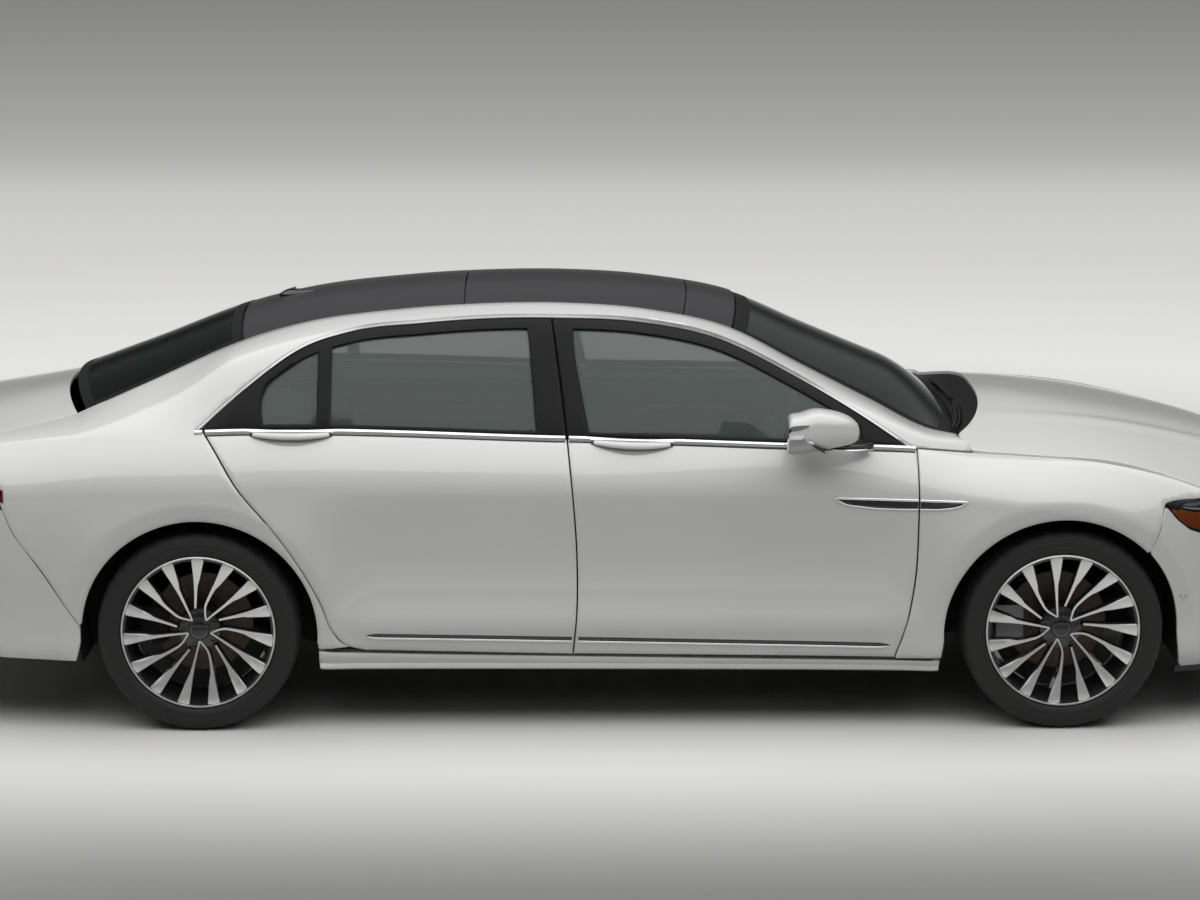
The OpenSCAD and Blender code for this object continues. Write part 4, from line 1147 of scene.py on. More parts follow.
@dataclass
class Canopy:
    """Dark roof in three panels, windscreen, rear window, cowl with wipers and aerial."""

    seam: float = 2.0
    cuts: Sequence[float] = (434.0, 262.0, -512.0, -1290.0)
    across: int = 41
    skin: float = 16.0

    def dome(self, x: Array, rise_x: Array, rise_z: Array, inset: float) -> Array:
        """Grid of points between the roof rails.

        Args:
            x: rail positions of the rows.
            rise_x: forward bow at the middle of each row.
            rise_z: crown at the middle of each row.
            inset: distance kept from the rails.
        Returns:
            Grid of rows by points.
        """
        v = np.linspace(-1, 1, self.across)
        full = 1 - v * v
        y = (LINES.rail_top_y(x) - inset)[:, None] * v[None, :]
        return np.stack([x[:, None] + rise_x[:, None] * full, y,
                         LINES.rail_top(x)[:, None] + rise_z[:, None] * full], axis=-1)

    def roof(self) -> None:
        """Three roof panels with open seams."""
        total = self.cuts[0] - self.cuts[-1]
        for k, name in enumerate(("header", "sunroof", "rear")):
            x = np.linspace(self.cuts[k] - self.seam, self.cuts[k + 1] + self.seam, (14, 44, 44)[k])
            bow = 30 - 60 * (self.cuts[0] - x) / total
            grid = self.dome(x, bow, LINES.crown(x), 3.5)
            obj = Forge.sheet(f"roof_{name}", grid, grid - [0, 0, self.skin], bevel=2.5)
            fit(obj, "shell", ROOF_BLACK, ["roof"])
        x = np.linspace(454, -1308, 30)
        grid = self.dome(x, 30 - 60 * (434 - x) / total, LINES.crown(x), 14)
        obj = Forge.sheet("roof_lining", grid - [0, 0, 24], grid - [0, 0, 34], bevel=2)
        fit(obj, "shell", CLOTH)

    def glass(self, name: str, node: str, x0: float, x1: float, bow: Pair, rise: Pair, lean: float,
              border: Tuple[int, int, int], tuck: Pair = (0.0, 0.0)) -> None:
        """Curved glass with a black printed border.

        Args:
            name: piece name.
            node: node stood for.
            x0: rail position of the lower edge.
            x1: rail position of the upper edge.
            bow: forward bow at the lower and upper edge.
            rise: crown at the lower and upper edge.
            lean: thickness along X, with the sign of the inside.
            border: rows printed below and above, and columns printed at each side.
            tuck: how far the middle of the lower edge is drawn back and down.
        """
        rows = 34
        t = np.linspace(0, 1, rows)
        low = np.clip(1 - t / 0.36, 0, 1) ** 2
        grid = self.dome(x0 + (x1 - x0) * t, bow[0] + (bow[1] - bow[0]) * t - tuck[0] * low,
                         rise[0] + (rise[1] - rise[0]) * t - tuck[1] * low, 3.5)
        obj = Forge.sheet(name, grid, grid + [lean, 0, -5.0])
        obj.data.materials.append(SCREEN.material())
        obj.data.materials.append(FRAME_BLACK.material())
        b = self.across
        for face in obj.data.polygons:
            k = min(face.vertices) % (rows * b)
            r, c = k // b, k % b
            out = r < border[0] or r >= rows - 1 - border[1] or c < border[2] or c >= b - 1 - border[2]
            face.material_index = 1 if out else 0
        fit(obj, "shell", SCREEN, [node])

    def cowl(self) -> None:
        """Black cowl between hood and windscreen, with wiper arms."""
        def spot(y: Array, t: float) -> Array:
            """Points of the cowl at a share of the way from glass to hood."""
            full = 1 - (y / 690) ** 2
            back, front = 1185 + 62 * full, LINES.hood_heel(y) + 6
            z0, z1 = 1005 - 14 * full, LINES.hood_z(LINES.hood_heel(y), y) - 9
            dip = 9 * math.sin(math.pi * t)
            return np.stack([back + (front - back) * t, y, z0 + (z1 - z0) * t - dip], axis=-1)

        y = np.linspace(-690, 690, 61)
        grid = np.array([spot(y, t) for t in np.linspace(0, 1, 9)])
        obj = Forge.sheet("cowl_cover", grid, grid - [0, 0, 6], flip=True)
        fit(obj, "shell", FRAME_BLACK)
        for k, (y0, y1) in enumerate(((-60, -610), (470, -20))):
            t = np.linspace(0, 1, 24)
            path = spot(y0 + (y1 - y0) * t, 0.3) + [0, 0, 11]
            arm = Forge.tube(f"wiper_arm_{k + 1}", path, 6.0, 10, flat=0.6, taper=1.4 - 0.8 * t)
            fit(arm, "shell", FRAME_BLACK)
            blade = Forge.tube(f"wiper_blade_{k + 1}", path[4:] + [-13, 0, 4], 3.5, 8, flat=1.4)
            fit(blade, "shell", RUBBER.on("black_plastic"))

    def aerial(self) -> None:
        """Low black aerial puck near the rear edge of the roof."""
        rings = []
        for t in np.linspace(0, 1, 12):
            k = math.sqrt(max(1 - t ** 2.2, 0.0))
            a = np.linspace(0, 2 * math.pi, 40, endpoint=False)
            x = -1130 + 78 * (k * np.cos(a) - 0.18 * t)
            y = 34 * k * np.sin(a)
            base = LINES.rail_top(np.clip(x + 12, -1290, 430)) + LINES.crown(x) - 3
            rings.append(np.stack([x, y, base + 30 * t * (0.75 - 0.25 * np.cos(a))], axis=-1))
        grid = np.array(rings).transpose(1, 0, 2)
        n, m = grid.shape[:2]
        faces = Forge.grid_faces(n, m, True) + [[i * m for i in range(n)][::-1]]
        obj = Forge.mesh("aerial_puck", grid.reshape(-1, 3), Forge.over(faces), sharp=50)
        fit(obj, "shell", GLOSS_BLACK.on("roof_black"))

    def build(self) -> None:
        """All pieces over the cabin."""
        self.roof()
        self.glass("windscreen_glass", "windscreen", 1188, 438, (130, 30), (60, 48), -3.0, (2, 2, 1),
                   (68, 74))
        self.glass("rear_window_glass", "rear_window", -1838, -1296, (-92, -30), (66, 58), 3.0, (2, 2, 1))
        self.cowl()
        self.aerial()


@dataclass
class Lids:
    """Hood and boot lid, with the trim of the boot space."""

    along: int = 56
    across: int = 73

    def hood(self) -> None:
        """Hood with two soft folds running to the grille, and its lining."""
        v = np.linspace(-1, 1, self.across)
        y0 = v * 800
        t = np.linspace(0, 1, self.along)[:, None]
        x = LINES.hood_heel(y0) + (LINES.hood_tip(y0) - LINES.hood_heel(y0)) * t
        y = v * np.minimum(LINES.hood_half(x), 800 + 30 * t)
        fold = 5.0 * np.exp(-((np.abs(v) - 0.62 + 0.16 * t) / 0.05) ** 2)
        z = LINES.hood_z(x, y) + fold * np.sin(math.pi * np.clip(t, 0, 1)) ** 0.5
        grid = np.stack([x, y, z], axis=-1)
        obj = Forge.sheet("hood_skin", grid, grid - [0, 0, 14], bevel=3.0, flip=True)
        fit(obj, "hood", PEARL, ["hood"])
        inner = grid[4:-4:2, 4:-4:2]
        rib = 6 * np.abs(np.sin(np.linspace(0, 5 * math.pi, inner.shape[1])))[None, :, None] * [0, 0, 1]
        liner = Forge.sheet("hood_liner", inner - [0, 0, 15.5], inner - [0, 0, 21] - rib, flip=True)
        fit(liner, "hood", LINER)

    def boot(self) -> None:
        """Boot lid with its turned-up edge, lamp bar and lining."""
        x = (-1868, -1960, -2060, -2160, -2280, -2400)
        edge = [(a, float(LINES.boot_y(a)) - 8, float(LINES.boot_z(a)) + 1) for a in x]
        edge += [(-2440, 618, 930), (-2462, 600, 880), (-2470, 590, 800), (-2466, 585, 722)]
        rise = [(-94, 44), (-90, 48), (-86, 50), (-84, 50), (-90, 48), (-104, 44), (-100, 24),
                (-86, 6), (-82, 0), (-84, 0)]
        rows = through([(*e, *r) for e, r in zip(edge, rise)], 17.0)
        v = np.linspace(-1, 1, self.across)
        full = 1 - v * v
        grid = np.stack([rows[:, 0:1] + rows[:, 3:4] * full, rows[:, 1:2] * v,
                         rows[:, 2:3] + rows[:, 4:5] * full], axis=-1)
        lip = np.exp(-((grid[..., 2] - 968) / 16) ** 2) * (grid[..., 0] < -2360)
        grid = grid + np.stack([-5.0 * lip, 0 * lip, 5.0 * lip], axis=-1)
        du, dv = np.gradient(grid, axis=0), np.gradient(grid, axis=1)
        out = unit(np.cross(dv, du))
        out *= np.sign(np.sum(out * np.array([-0.7, 0, 0.7]), axis=-1, keepdims=True))
        obj = Forge.sheet("boot_skin", grid, grid - out * 14, bevel=3.0)
        fit(obj, "boot", PEARL, ["boot_lid"])
        inner = (grid - out * 15.5)[4:-3:2, 4:-4:2]
        liner = Forge.sheet("boot_liner", inner, inner - out[4:-3:2, 4:-4:2] * 6)
        fit(liner, "boot", LINER)
        self.lamp_bar(grid, out)

    @staticmethod
    def boot_sides() -> None:
        """Trim down both sides of the boot space."""
        x = np.linspace(-1852, -2416, 30)
        t = np.linspace(0, 1, 14)[:, None] ** 1.3
        top = np.array([(float(LINES.boot_y(a)) - 16, float(LINES.boot_z(a)) - 38) for a in x])
        fold = 26 * np.sin(math.pi * t) ** 2
        y = top[:, 0] * (1 - t) + 560 * t - fold
        grid = np.stack([np.broadcast_to(x, y.shape), y, top[:, 1] * (1 - t) + 400 * t], axis=-1)
        for side in Side:
            obj = Forge.sheet(f"boot_trim_{side.word}", grid * side.mirror, (grid - [0, 5, 0]) * side.mirror,
                              bevel=1.5, flip=side is Side.RIGHT)
            fit(obj, "shell", LINER)

    def lamp_bar(self, grid: Array, out: Array) -> None:
        """Red lamp bar and bright strip on the rear face of the lid.

        Args:
            grid: points of the lid.
            out: outward directions at the points.
        """
        z = grid[:, grid.shape[1] // 2, 2]
        for name, lo, hi, lift, finish, trim in (
                ("lamp_bar", 800, 876, 5.0, RED_LENS, 2),
                ("lid_strip", 772, 786, 6.0, CHROME, 14)):
            pick = np.flatnonzero((z > lo) & (z < hi) & (grid[:, 0, 0] < -2430))
            part = (slice(pick[0], pick[-1] + 1), slice(trim, grid.shape[1] - trim))
            obj = Forge.sheet(name, grid[part] + out[part] * lift, grid[part] - out[part], bevel=1.5)
            fit(obj, "boot", finish)

    def build(self) -> None:
        """Both lids and the boot's trim."""
        self.hood()
        self.boot()
        self.boot_sides()


@dataclass
class Fascias:
    """Front and rear bumpers, grille, header and the trim on them."""

    sheet: float = 12.0
    grille_r: float = 2470.0
    grille_x: float = 80.0

    @staticmethod
    def outward(plan: Array) -> Array:
        """Outward directions of a plan row that starts at the left rear.

        Args:
            plan: row of (x, y).
        Returns:
            Unit directions in plan.
        """
        t = np.gradient(plan, axis=0)
        n = unit(np.stack([-t[:, 1], t[:, 0]], axis=1))
        middle = np.array([plan[:, 0].mean() - 2000 * np.sign(plan[:, 0].mean()), 0.0])
        return n * np.sign(np.sum(n * (plan - middle), axis=1, keepdims=True))

    def wall(self, plan: Array, low: Array, high: Array, rows: int, sink: float = 0.0) -> Array:
        """Grid of points that follows a plan row.

        Args:
            plan: row of (x, y).
            low: lower height at each plan point.
            high: upper height at each plan point.
            rows: points from low to high.
            sink: distance set in from the outer face.
        Returns:
            Grid of plan points by rows.
        """
        n = self.outward(plan)
        t = np.linspace(0, 1, rows)[None, :]
        z = low[:, None] + (high - low)[:, None] * t
        k = LINES.low_in(z) + sink - LINES.bulge(plan[:, :1], z)
        return np.stack([plan[:, :1] - n[:, :1] * k, plan[:, 1:] - n[:, 1:] * k, z], axis=-1)

    @staticmethod
    def even(points: Sequence[Pair], count: int) -> Array:
        """Points at even steps along a broken line."""
        row = np.asarray(points, float)
        d = run(row)
        s = np.linspace(0, d[-1], count)
        return np.stack([np.interp(s, d, row[:, 0]), np.interp(s, d, row[:, 1])], axis=1)

    def corner(self, side: Side) -> None:
        """Painted corner of the front bumper, cut out round the wheel arch.

        Args:
            side: side of the car.
        """
        plan = self.side_plan(self.front_keys(), side)
        way = run(plan)
        turn = np.radians(np.linspace(0, 43, 30))
        arch = [(2006, 206), (1994, 222), (1985, 262), (1979, 305)]
        arch += [(1563 + 414 * math.cos(a), LINES.arch_z + 414 * math.sin(a)) for a in turn] + [(1864, 632)]
        top = [(1864, 632), (1893, 706), (1910, 786), (1920, 780), (1952, 741), (2000, 703), (2060, 684),
               (2140, 672), (2524, 668)]
        rows = [([(np.interp(x, plan[:, 0], way), z) for x, z in row], count) for row, count in
                (([(2006, 206), (2524, 206)], 96), (top, 96), (arch, 46), ([(2524, 206), (2524, 668)], 46))]
        low, high, rear, nose = [self.even(row, count) for row, count in rows]
        u, v = np.linspace(0, 1, 96)[:, None, None], np.linspace(0, 1, 46)[None, :, None]
        flat = (1 - v) * low[:, None] + v * high[:, None] + (1 - u) * rear[None] + u * nose[None]
        flat = flat - (1 - u) * ((1 - v) * low[0] + v * high[0]) - u * ((1 - v) * low[-1] + v * high[-1])
        n = self.outward(plan)
        x, y, nx, ny = [np.interp(flat[..., 0], way, q) for q in (plan[:, 0], plan[:, 1], n[:, 0], n[:, 1])]
        z = flat[..., 1]
        k = LINES.low_in(z) - LINES.bulge(x, z)
        a, b = [np.stack([x - nx * (k + sink), y - ny * (k + sink), z], axis=-1)
                for sink in (0.0, self.sheet)]
        obj = Forge.sheet(f"front_corner_{side.word}", a, b, bevel=2.5, flip=side is Side.LEFT)
        fit(obj, "shell", PEARL, ["front_bumper"])

    def strip(self, name: str, plan: Array, low: Array, high: Array, lift: float, finish: Finish,
              depth: float = 8.0, rows: int = 8, nodes: Sequence[str] = (), bevel: float = 2.0
              ) -> bpy.types.Object:
        """Piece on a bumper between two heights.

        Args:
            name: piece name.
            plan: row of (x, y).
            low: lower heights.
            high: upper heights.
            lift: distance in front of the bumper's face.
            finish: surface finish.
            depth: thickness.
            rows: points from low to high.
            nodes: nodes stood for.
            bevel: rounding of its edges.
        Returns:
            The piece.
        """
        low, high = np.broadcast_to(low, len(plan)), np.broadcast_to(high, len(plan))
        a, b = self.wall(plan, low, high, rows, -lift), self.wall(plan, low, high, rows, depth - lift)
        du, dv = np.gradient(a, axis=0), np.gradient(a, axis=1)
        face = np.cross(du, dv).reshape(-1, 3).sum(0)
        ahead = (a - b).reshape(-1, 3).sum(0)
        obj = Forge.sheet(name, a, b, bevel=bevel, flip=float(face @ ahead) < 0)
        return fit(obj, "shell", finish, nodes)

    def side_plan(self, keys: Sequence[Pair], side: Side, step: float = 9.0) -> Array:
        """Dense plan row of one side."""
        return through(keys, step) * [1, side.value]

    def front_keys(self) -> List[Pair]:
        """Plan points of the left front corner, from the wheel arch to the grille."""
        x = np.linspace(1864, 2420, 34)
        return [(float(a), float(LINES.plan(a))) for a in x] + [(2472, 612), (2500, 576), (2524, 518)]

    def front(self) -> None:
        """Front bumper: two corners, chin, intakes and bright corner trim."""
        for side in Side:
            plan = self.side_plan(self.front_keys(), side)
            x = plan[:, 0]
            self.corner(side)
            part = plan[(x > 2300) & (x < 2512)]
            wide = np.interp(part[:, 0], [2300, 2360, 2512], [0.25, 1, 1])
            self.strip(f"front_vent_{side.word}", part, 330.0, 340 + 190 * wide, 1.5, SATIN_BLACK, 6.0, 12)
            for k in range(5):
                z = 352 + 34 * k
                bar = part[wide > (z - 340) / 190 + 0.06] if z > 360 else part[4:]
                self.strip(f"vent_bar_{side.word}_{k + 1}", bar, z - 4.0, z + 4.0, 6.0, GLOSS_BLACK, 5.0, 3,
                           bevel=1.0)
            self.strip(f"vent_trim_{side.word}", part, 318.0, 328.0, 5.0, CHROME, 6.0, 4)
            arch = plan[(x > 1996) & (x < 2260)]
            self.strip(f"front_deflector_{side.word}", arch, 176.0, 206.0, -18.0, SATIN_BLACK, 5.0, 4)
            spot = (1985.0, side.value * float(LINES.lower(np.array(1985.0), np.array(471.0))), 471.0)
            ring = Forge.turned(f"park_sensor_{side.word}", [(7.5, 0.6), (8.5, 1.6), (11.5, 1.6), (12.5, 0.4),
                                                             (12.5, -4), (7.5, -4)], spot, side.value, 40)
            # The grey ring is painted shade round the sensor.
            fit(ring, "shell", PAINTED_SHADE_GREY)
        half = [(2528, 512), (2556, 370), (2578, 190), (2586, 0)]
        keys = half + [(a, -b) for a, b in half[-2::-1]]
        plan = through(keys, 12.0)
        self.strip("front_chin", plan, 206.0, 402.0, 0.0, PEARL, self.sheet, 24, ["front_bumper"])
        self.strip("chin_intake", plan[10:-10], 246.0, 336.0, 1.5, SATIN_BLACK, 6.0, 8)
        for k in range(3):
            self.strip(f"chin_bar_{k + 1}", plan[11:-11], 262.0 + 26 * k, 268.0 + 26 * k, 6.0, GLOSS_BLACK,
                       5.0, 3, bevel=1.0)
        self.strip("chin_trim", plan[9:-9], 232.0, 240.0, 5.0, CHROME, 6.0, 4)
        flat = plan[np.abs(plan[:, 1]) < 165]
        self.strip("front_plate", flat, 404.0, 514.0, -40.0, PLATE, 3.0, 6, bevel=1.2)

    def bow(self, y: Array, out: float) -> Array:
        """X of the grille's curved face, moved out by a distance."""
        return self.grille_x + np.sqrt((self.grille_r + out) ** 2 - y ** 2)

    def lattice(self) -> None:
        """Grille of crossed wave bars in a broad bright frame."""
        bars = []
        y = np.linspace(-478, 478, 81)
        x = self.bow(y, -12)
        for k in range(13):
            z = 428 + 21.5 * k
            for flip in (1, -1):
                wave = z + flip * 9.5 * np.sin(y / 26 * math.pi + k * math.pi)
                path = np.stack([x + flip * 3.0 * np.cos(y / 26 * math.pi), y, wave], axis=1)
                bars.append(Forge.tube("bar", path, 3.4, 6))
        fit(Forge.join("grille_lattice", bars), "shell", DARK_CHROME, ["grille"])
        corner = [(-506, 418), (-488, 690), (-452, 702), (452, 702), (488, 690), (506, 418), (470, 411),
                  (-470, 411)]
        row = straight(corner + [corner[0]], 14.0)[:-1]
        path = np.column_stack([self.bow(row[:, 0], 6), row])
        up = unit((path - [self.grille_x, 0, 0]) * [1, 1, 0])
        frame_bar = Forge.tube("grille_frame", path, 11.0, 12, closed=True, flat=1.3, up=up)
        fit(frame_bar, "shell", CHROME)
        y = np.linspace(-500, 500, 40)
        grid = np.stack([np.stack([self.bow(y, -36), y, np.full(40, z)], 1)
                         for z in np.linspace(402, 700, 8)])
        backing = Forge.sheet("grille_backing", grid, grid - [4, 0, 0], flip=True)
        fit(backing, "shell", SATIN_BLACK)

    def header(self) -> None:
        """Painted header between grille and hood."""
        y = np.linspace(-504, 504, 73)
        x0 = self.bow(y, 0) + 6
        x1 = LINES.hood_edge(y) + 5
        z1 = LINES.hood_z(x1, y) - 3
        rows = []
        for t in np.linspace(0, 1, 12):
            swell = 4 * t * (1 - t)
            z = 708 + (z1 - 708) * t + 8 * swell
            rows.append(np.stack([x0 + (x1 - x0) * t + 12 * swell, y, z], axis=-1))
        grid = np.array(rows)
        obj = Forge.sheet("grille_header_skin", grid, grid - [10, 0, 4], bevel=2.0, flip=True)
        fit(obj, "shell", PEARL, ["grille_header"])

    def rear(self) -> None:
        """Rear bumper with diffuser, reflectors, outlets and blank plate."""
        x = np.linspace(-1838, -2230, 26)
        half = [(float(a), float(LINES.plan(a))) for a in x]
        half += [(-2260, 853), (-2330, 822), (-2380, 790), (-2460, 690), (-2510, 560), (-2543, 330),
                 (-2556, 0)]
        plan = through(half + [(a, -b) for a, b in half[-2::-1]], 18.0)
        x, y = plan[:, 0], np.abs(plan[:, 1])
        reach = np.sqrt(np.clip(414 ** 2 - (x + 1422) ** 2, 0, None))
        low = np.where(x > -1834, LINES.arch_z + reach,
                       np.interp(-x, [1834, 1850, 2100, 2556], [330, 246, 252, 272]))
        side_top = np.interp(-x, [1838, 1872, 1960, 2056, 2080, 2092, 2250, 2380],
                             [366, 420, 562, 696, 752, 786, 784, 780])
        high = np.where(y > 640, side_top, np.interp(y, [0, 560, 600, 640], [708, 708, 740, 776]))
        self.strip("rear_bumper_skin", plan, low, np.maximum(high, low + 4), 0.0, PEARL,
                   self.sheet, 36, ["rear_bumper"], bevel=2.5)
        mid = plan[y < 640]
        self.strip("rear_diffuser", mid, 262.0, 352.0, 2.0, SATIN_BLACK, 6.0, 8)
        self.strip("diffuser_trim", mid, 354.0, 364.0, 4.5, CHROME, 6.0, 4)
        self.strip("rear_plate", plan[y < 260], 500.0, 610.0, 3.0, PLATE, 3.0, 6, bevel=1.2)
        self.strip("plate_recess", plan[y < 300], 478.0, 632.0, 0.8, GLOSS_BLACK, 4.0, 6)
        for side in Side:
            own = plan[(np.sign(plan[:, 1]) == side.value) & (y > 560) & (y < 760)]
            self.strip(f"rear_reflector_{side.word}", own, 400.0, 424.0, 3.0, RED_GLOW, 6.0, 4)
            out = plan[(np.sign(plan[:, 1]) == side.value) & (y > 330) & (y < 520)]
            self.strip(f"outlet_trim_{side.word}", out, 282.0, 338.0, 5.0, CHROME, 6.0, 6,
                       bevel=2.5)
            self.strip(f"outlet_{side.word}", out[2:-2], 292.0, 328.0, 6.5, SATIN_BLACK, 6.0, 5)

    def build(self) -> None:
        """All pieces of both ends."""
        self.front()
        self.lattice()
        self.header()
        self.rear()


@dataclass
class Lamps:
    """Headlamp and tail lamp of one side."""

    side: Side
    along: int = 40

    def evened(self, points: Sequence[Sequence[float]], step: float) -> Array:
        """Row through points, thinned out to the lamp's count."""
        row = through(points, step)
        return row[np.linspace(0, len(row) - 1, self.along).astype(int)]

    def fitted(self, name: str, grid: Array, depth: Array, body: str, finish: Finish,
               nodes: Sequence[str] = ()) -> bpy.types.Object:
        """Sheet of this side with a given depth towards the inside.

        Args:
            name: piece name without the side.
            grid: points of the left lamp.
            depth: offset to the inner face.
            body: body of the frame.
            finish: surface finish.
            nodes: nodes stood for.
        Returns:
            The piece.
        """
        k = self.side.mirror
        du, dv = np.gradient(grid, axis=0), np.gradient(grid, axis=1)
        face = np.cross(du, dv).reshape(-1, 3).sum(0)
        ahead = np.broadcast_to(-depth, grid.shape).reshape(-1, 3).sum(0)
        flip = (float(face @ ahead) < 0) != (self.side is Side.RIGHT)
        obj = Forge.sheet(f"{name}_{self.side.word}", grid * k, (grid + depth) * k, bevel=1.2, flip=flip)
        return fit(obj, body, finish, nodes)

    def head(self) -> None:
        """Headlamp: clear lens over a black housing, light strip, three projectors and marker."""
        low = [(x, float(LINES.plan(x)) - 4, z) for x, z in
               ((1934, 776), (1960, 742), (2000, 708), (2060, 688), (2140, 676), (2230, 676), (2320, 676),
                (2400, 676), (2446, 676), (2474, 676), (2502, 676))]
        high = [(x, float(LINES.lower(np.array(float(x)), np.array(float(z)))) - 2, z) for x, z in
                ((1922, 793), (1950, 799), (1990, 801), (2036, 801), (2062, 807))]
        for y in (790, 753, 700, 640, 580, 530, 508):
            x = float(LINES.hood_edge(np.array(float(y)))) + 6
            high.append((x, y, float(LINES.hood_z(np.array(x), np.array(float(y)))) - 4))
        n = self.along
        a, b = self.evened(low, 5.0), self.evened(high, 5.0)
        t = np.linspace(0, 1, 15)[None, :, None]
        swell = np.stack([np.linspace(0, 14, n), np.linspace(8, 4, n), np.full(n, 6)], 1)[:, None, :]
        grid = a[:, None] * (1 - t) + b[:, None] * t + swell * 4 * t * (1 - t)
        inward = np.stack([np.linspace(-4, -12, n), np.linspace(-12, -6, n), np.full(n, -1.0)], 1)[:, None, :]
        self.fitted("headlamp_lens", grid, inward * 0.25, "shell", LENS,
                    [f"headlamp_{self.side.word}"])
        box = grid + inward * 1.6
        self.fitted("headlamp_bowl", box, inward * 0.6, "shell", GLOSS_BLACK)
        bar = grid[1:, 9:11] + inward[1:] * 0.7
        self.fitted("headlamp_strip", bar, inward[1:] * 0.4, "shell", LENS_WHITE)
        mark = grid[1:11, 1:9] + inward[1:11] * 0.8
        self.fitted("side_marker", mark, inward[1:11] * 0.4, "shell", AMBER)
        for k, (i, j) in enumerate(((18, 5), (25, 5), (32, 5))):
            self.projector(f"projector_{k + 1}", grid[i, j] + inward[i, 0] * 1.2)

    def projector(self, name: str, spot: Array) -> None:
        """Bright ring with a lens, facing forward.

        Args:
            name: piece name without the side.
            spot: middle of its face on the left lamp.
        """
        profile = np.array([(0.5, 2), (9, 1), (15, -2), (17, -5), (19, -1), (22, 0), (24, -4), (24, -14),
                            (0.5, -14)])
        count = 40
        a = np.linspace(0, 2 * math.pi, count, endpoint=False)
        grid = np.stack([np.broadcast_to(profile[None, :, 1], (count, len(profile))) + spot[0],
                         profile[None, :, 0] * np.cos(a)[:, None] * 0.95 + spot[1],
                         profile[None, :, 0] * np.sin(a)[:, None] * 0.8 + spot[2]], axis=-1)
        faces = Forge.over(Forge.hoop(count, len(profile)), self.side is Side.RIGHT)
        obj = Forge.mesh(f"{name}_{self.side.word}", (grid * self.side.mirror).reshape(-1, 3), faces)
        fit(obj, "shell", CHROME)

    def tail(self) -> None:
        """Tail lamp: red lens over a stepped reflector."""
        low = [(-2084, 796), (-2200, 790), (-2330, 788), (-2420, 788), (-2468, 788)]
        high = [(-2087, 850), (-2200, 870), (-2330, 882), (-2420, 888), (-2468, 890)]
        wide = [float(LINES.plan(-2085)) - 2, float(LINES.plan(-2200)) - 6, float(LINES.plan(-2330)) - 16,
                float(LINES.plan(-2420)) - 36, 612]
        n = self.along
        a, b = [self.evened([(x, w, z) for (x, z), w in zip(row, wide)], 4.0) for row in (low, high)]
        t = np.linspace(0, 1, 13)[None, :, None]
        grow = np.stack([np.linspace(0, -10, n), np.full(n, 6.0), np.zeros(n)], 1)[:, None, :]
        grid = a[:, None] * (1 - t) + b[:, None] * t + grow * 4 * t * (1 - t)
        inward = np.stack([np.linspace(2, 16, n), np.linspace(-14, -6, n), np.zeros(n)], 1)[:, None, :]
        self.fitted("tail_lens", grid, inward * 0.25, "shell", RED_LENS,
                    [f"tail_lamp_{self.side.word}"])
        step = 3.0 * np.abs(np.sin(np.arange(n) * 0.9))[:, None, None] * np.array([0.6, -0.6, 0])
        self.fitted("tail_reflector", grid + inward * 0.7 + step, inward * 0.5, "shell", RED_GLOW)

    def build(self) -> None:
        """Both lamps of this side."""
        self.head()
        self.tail()


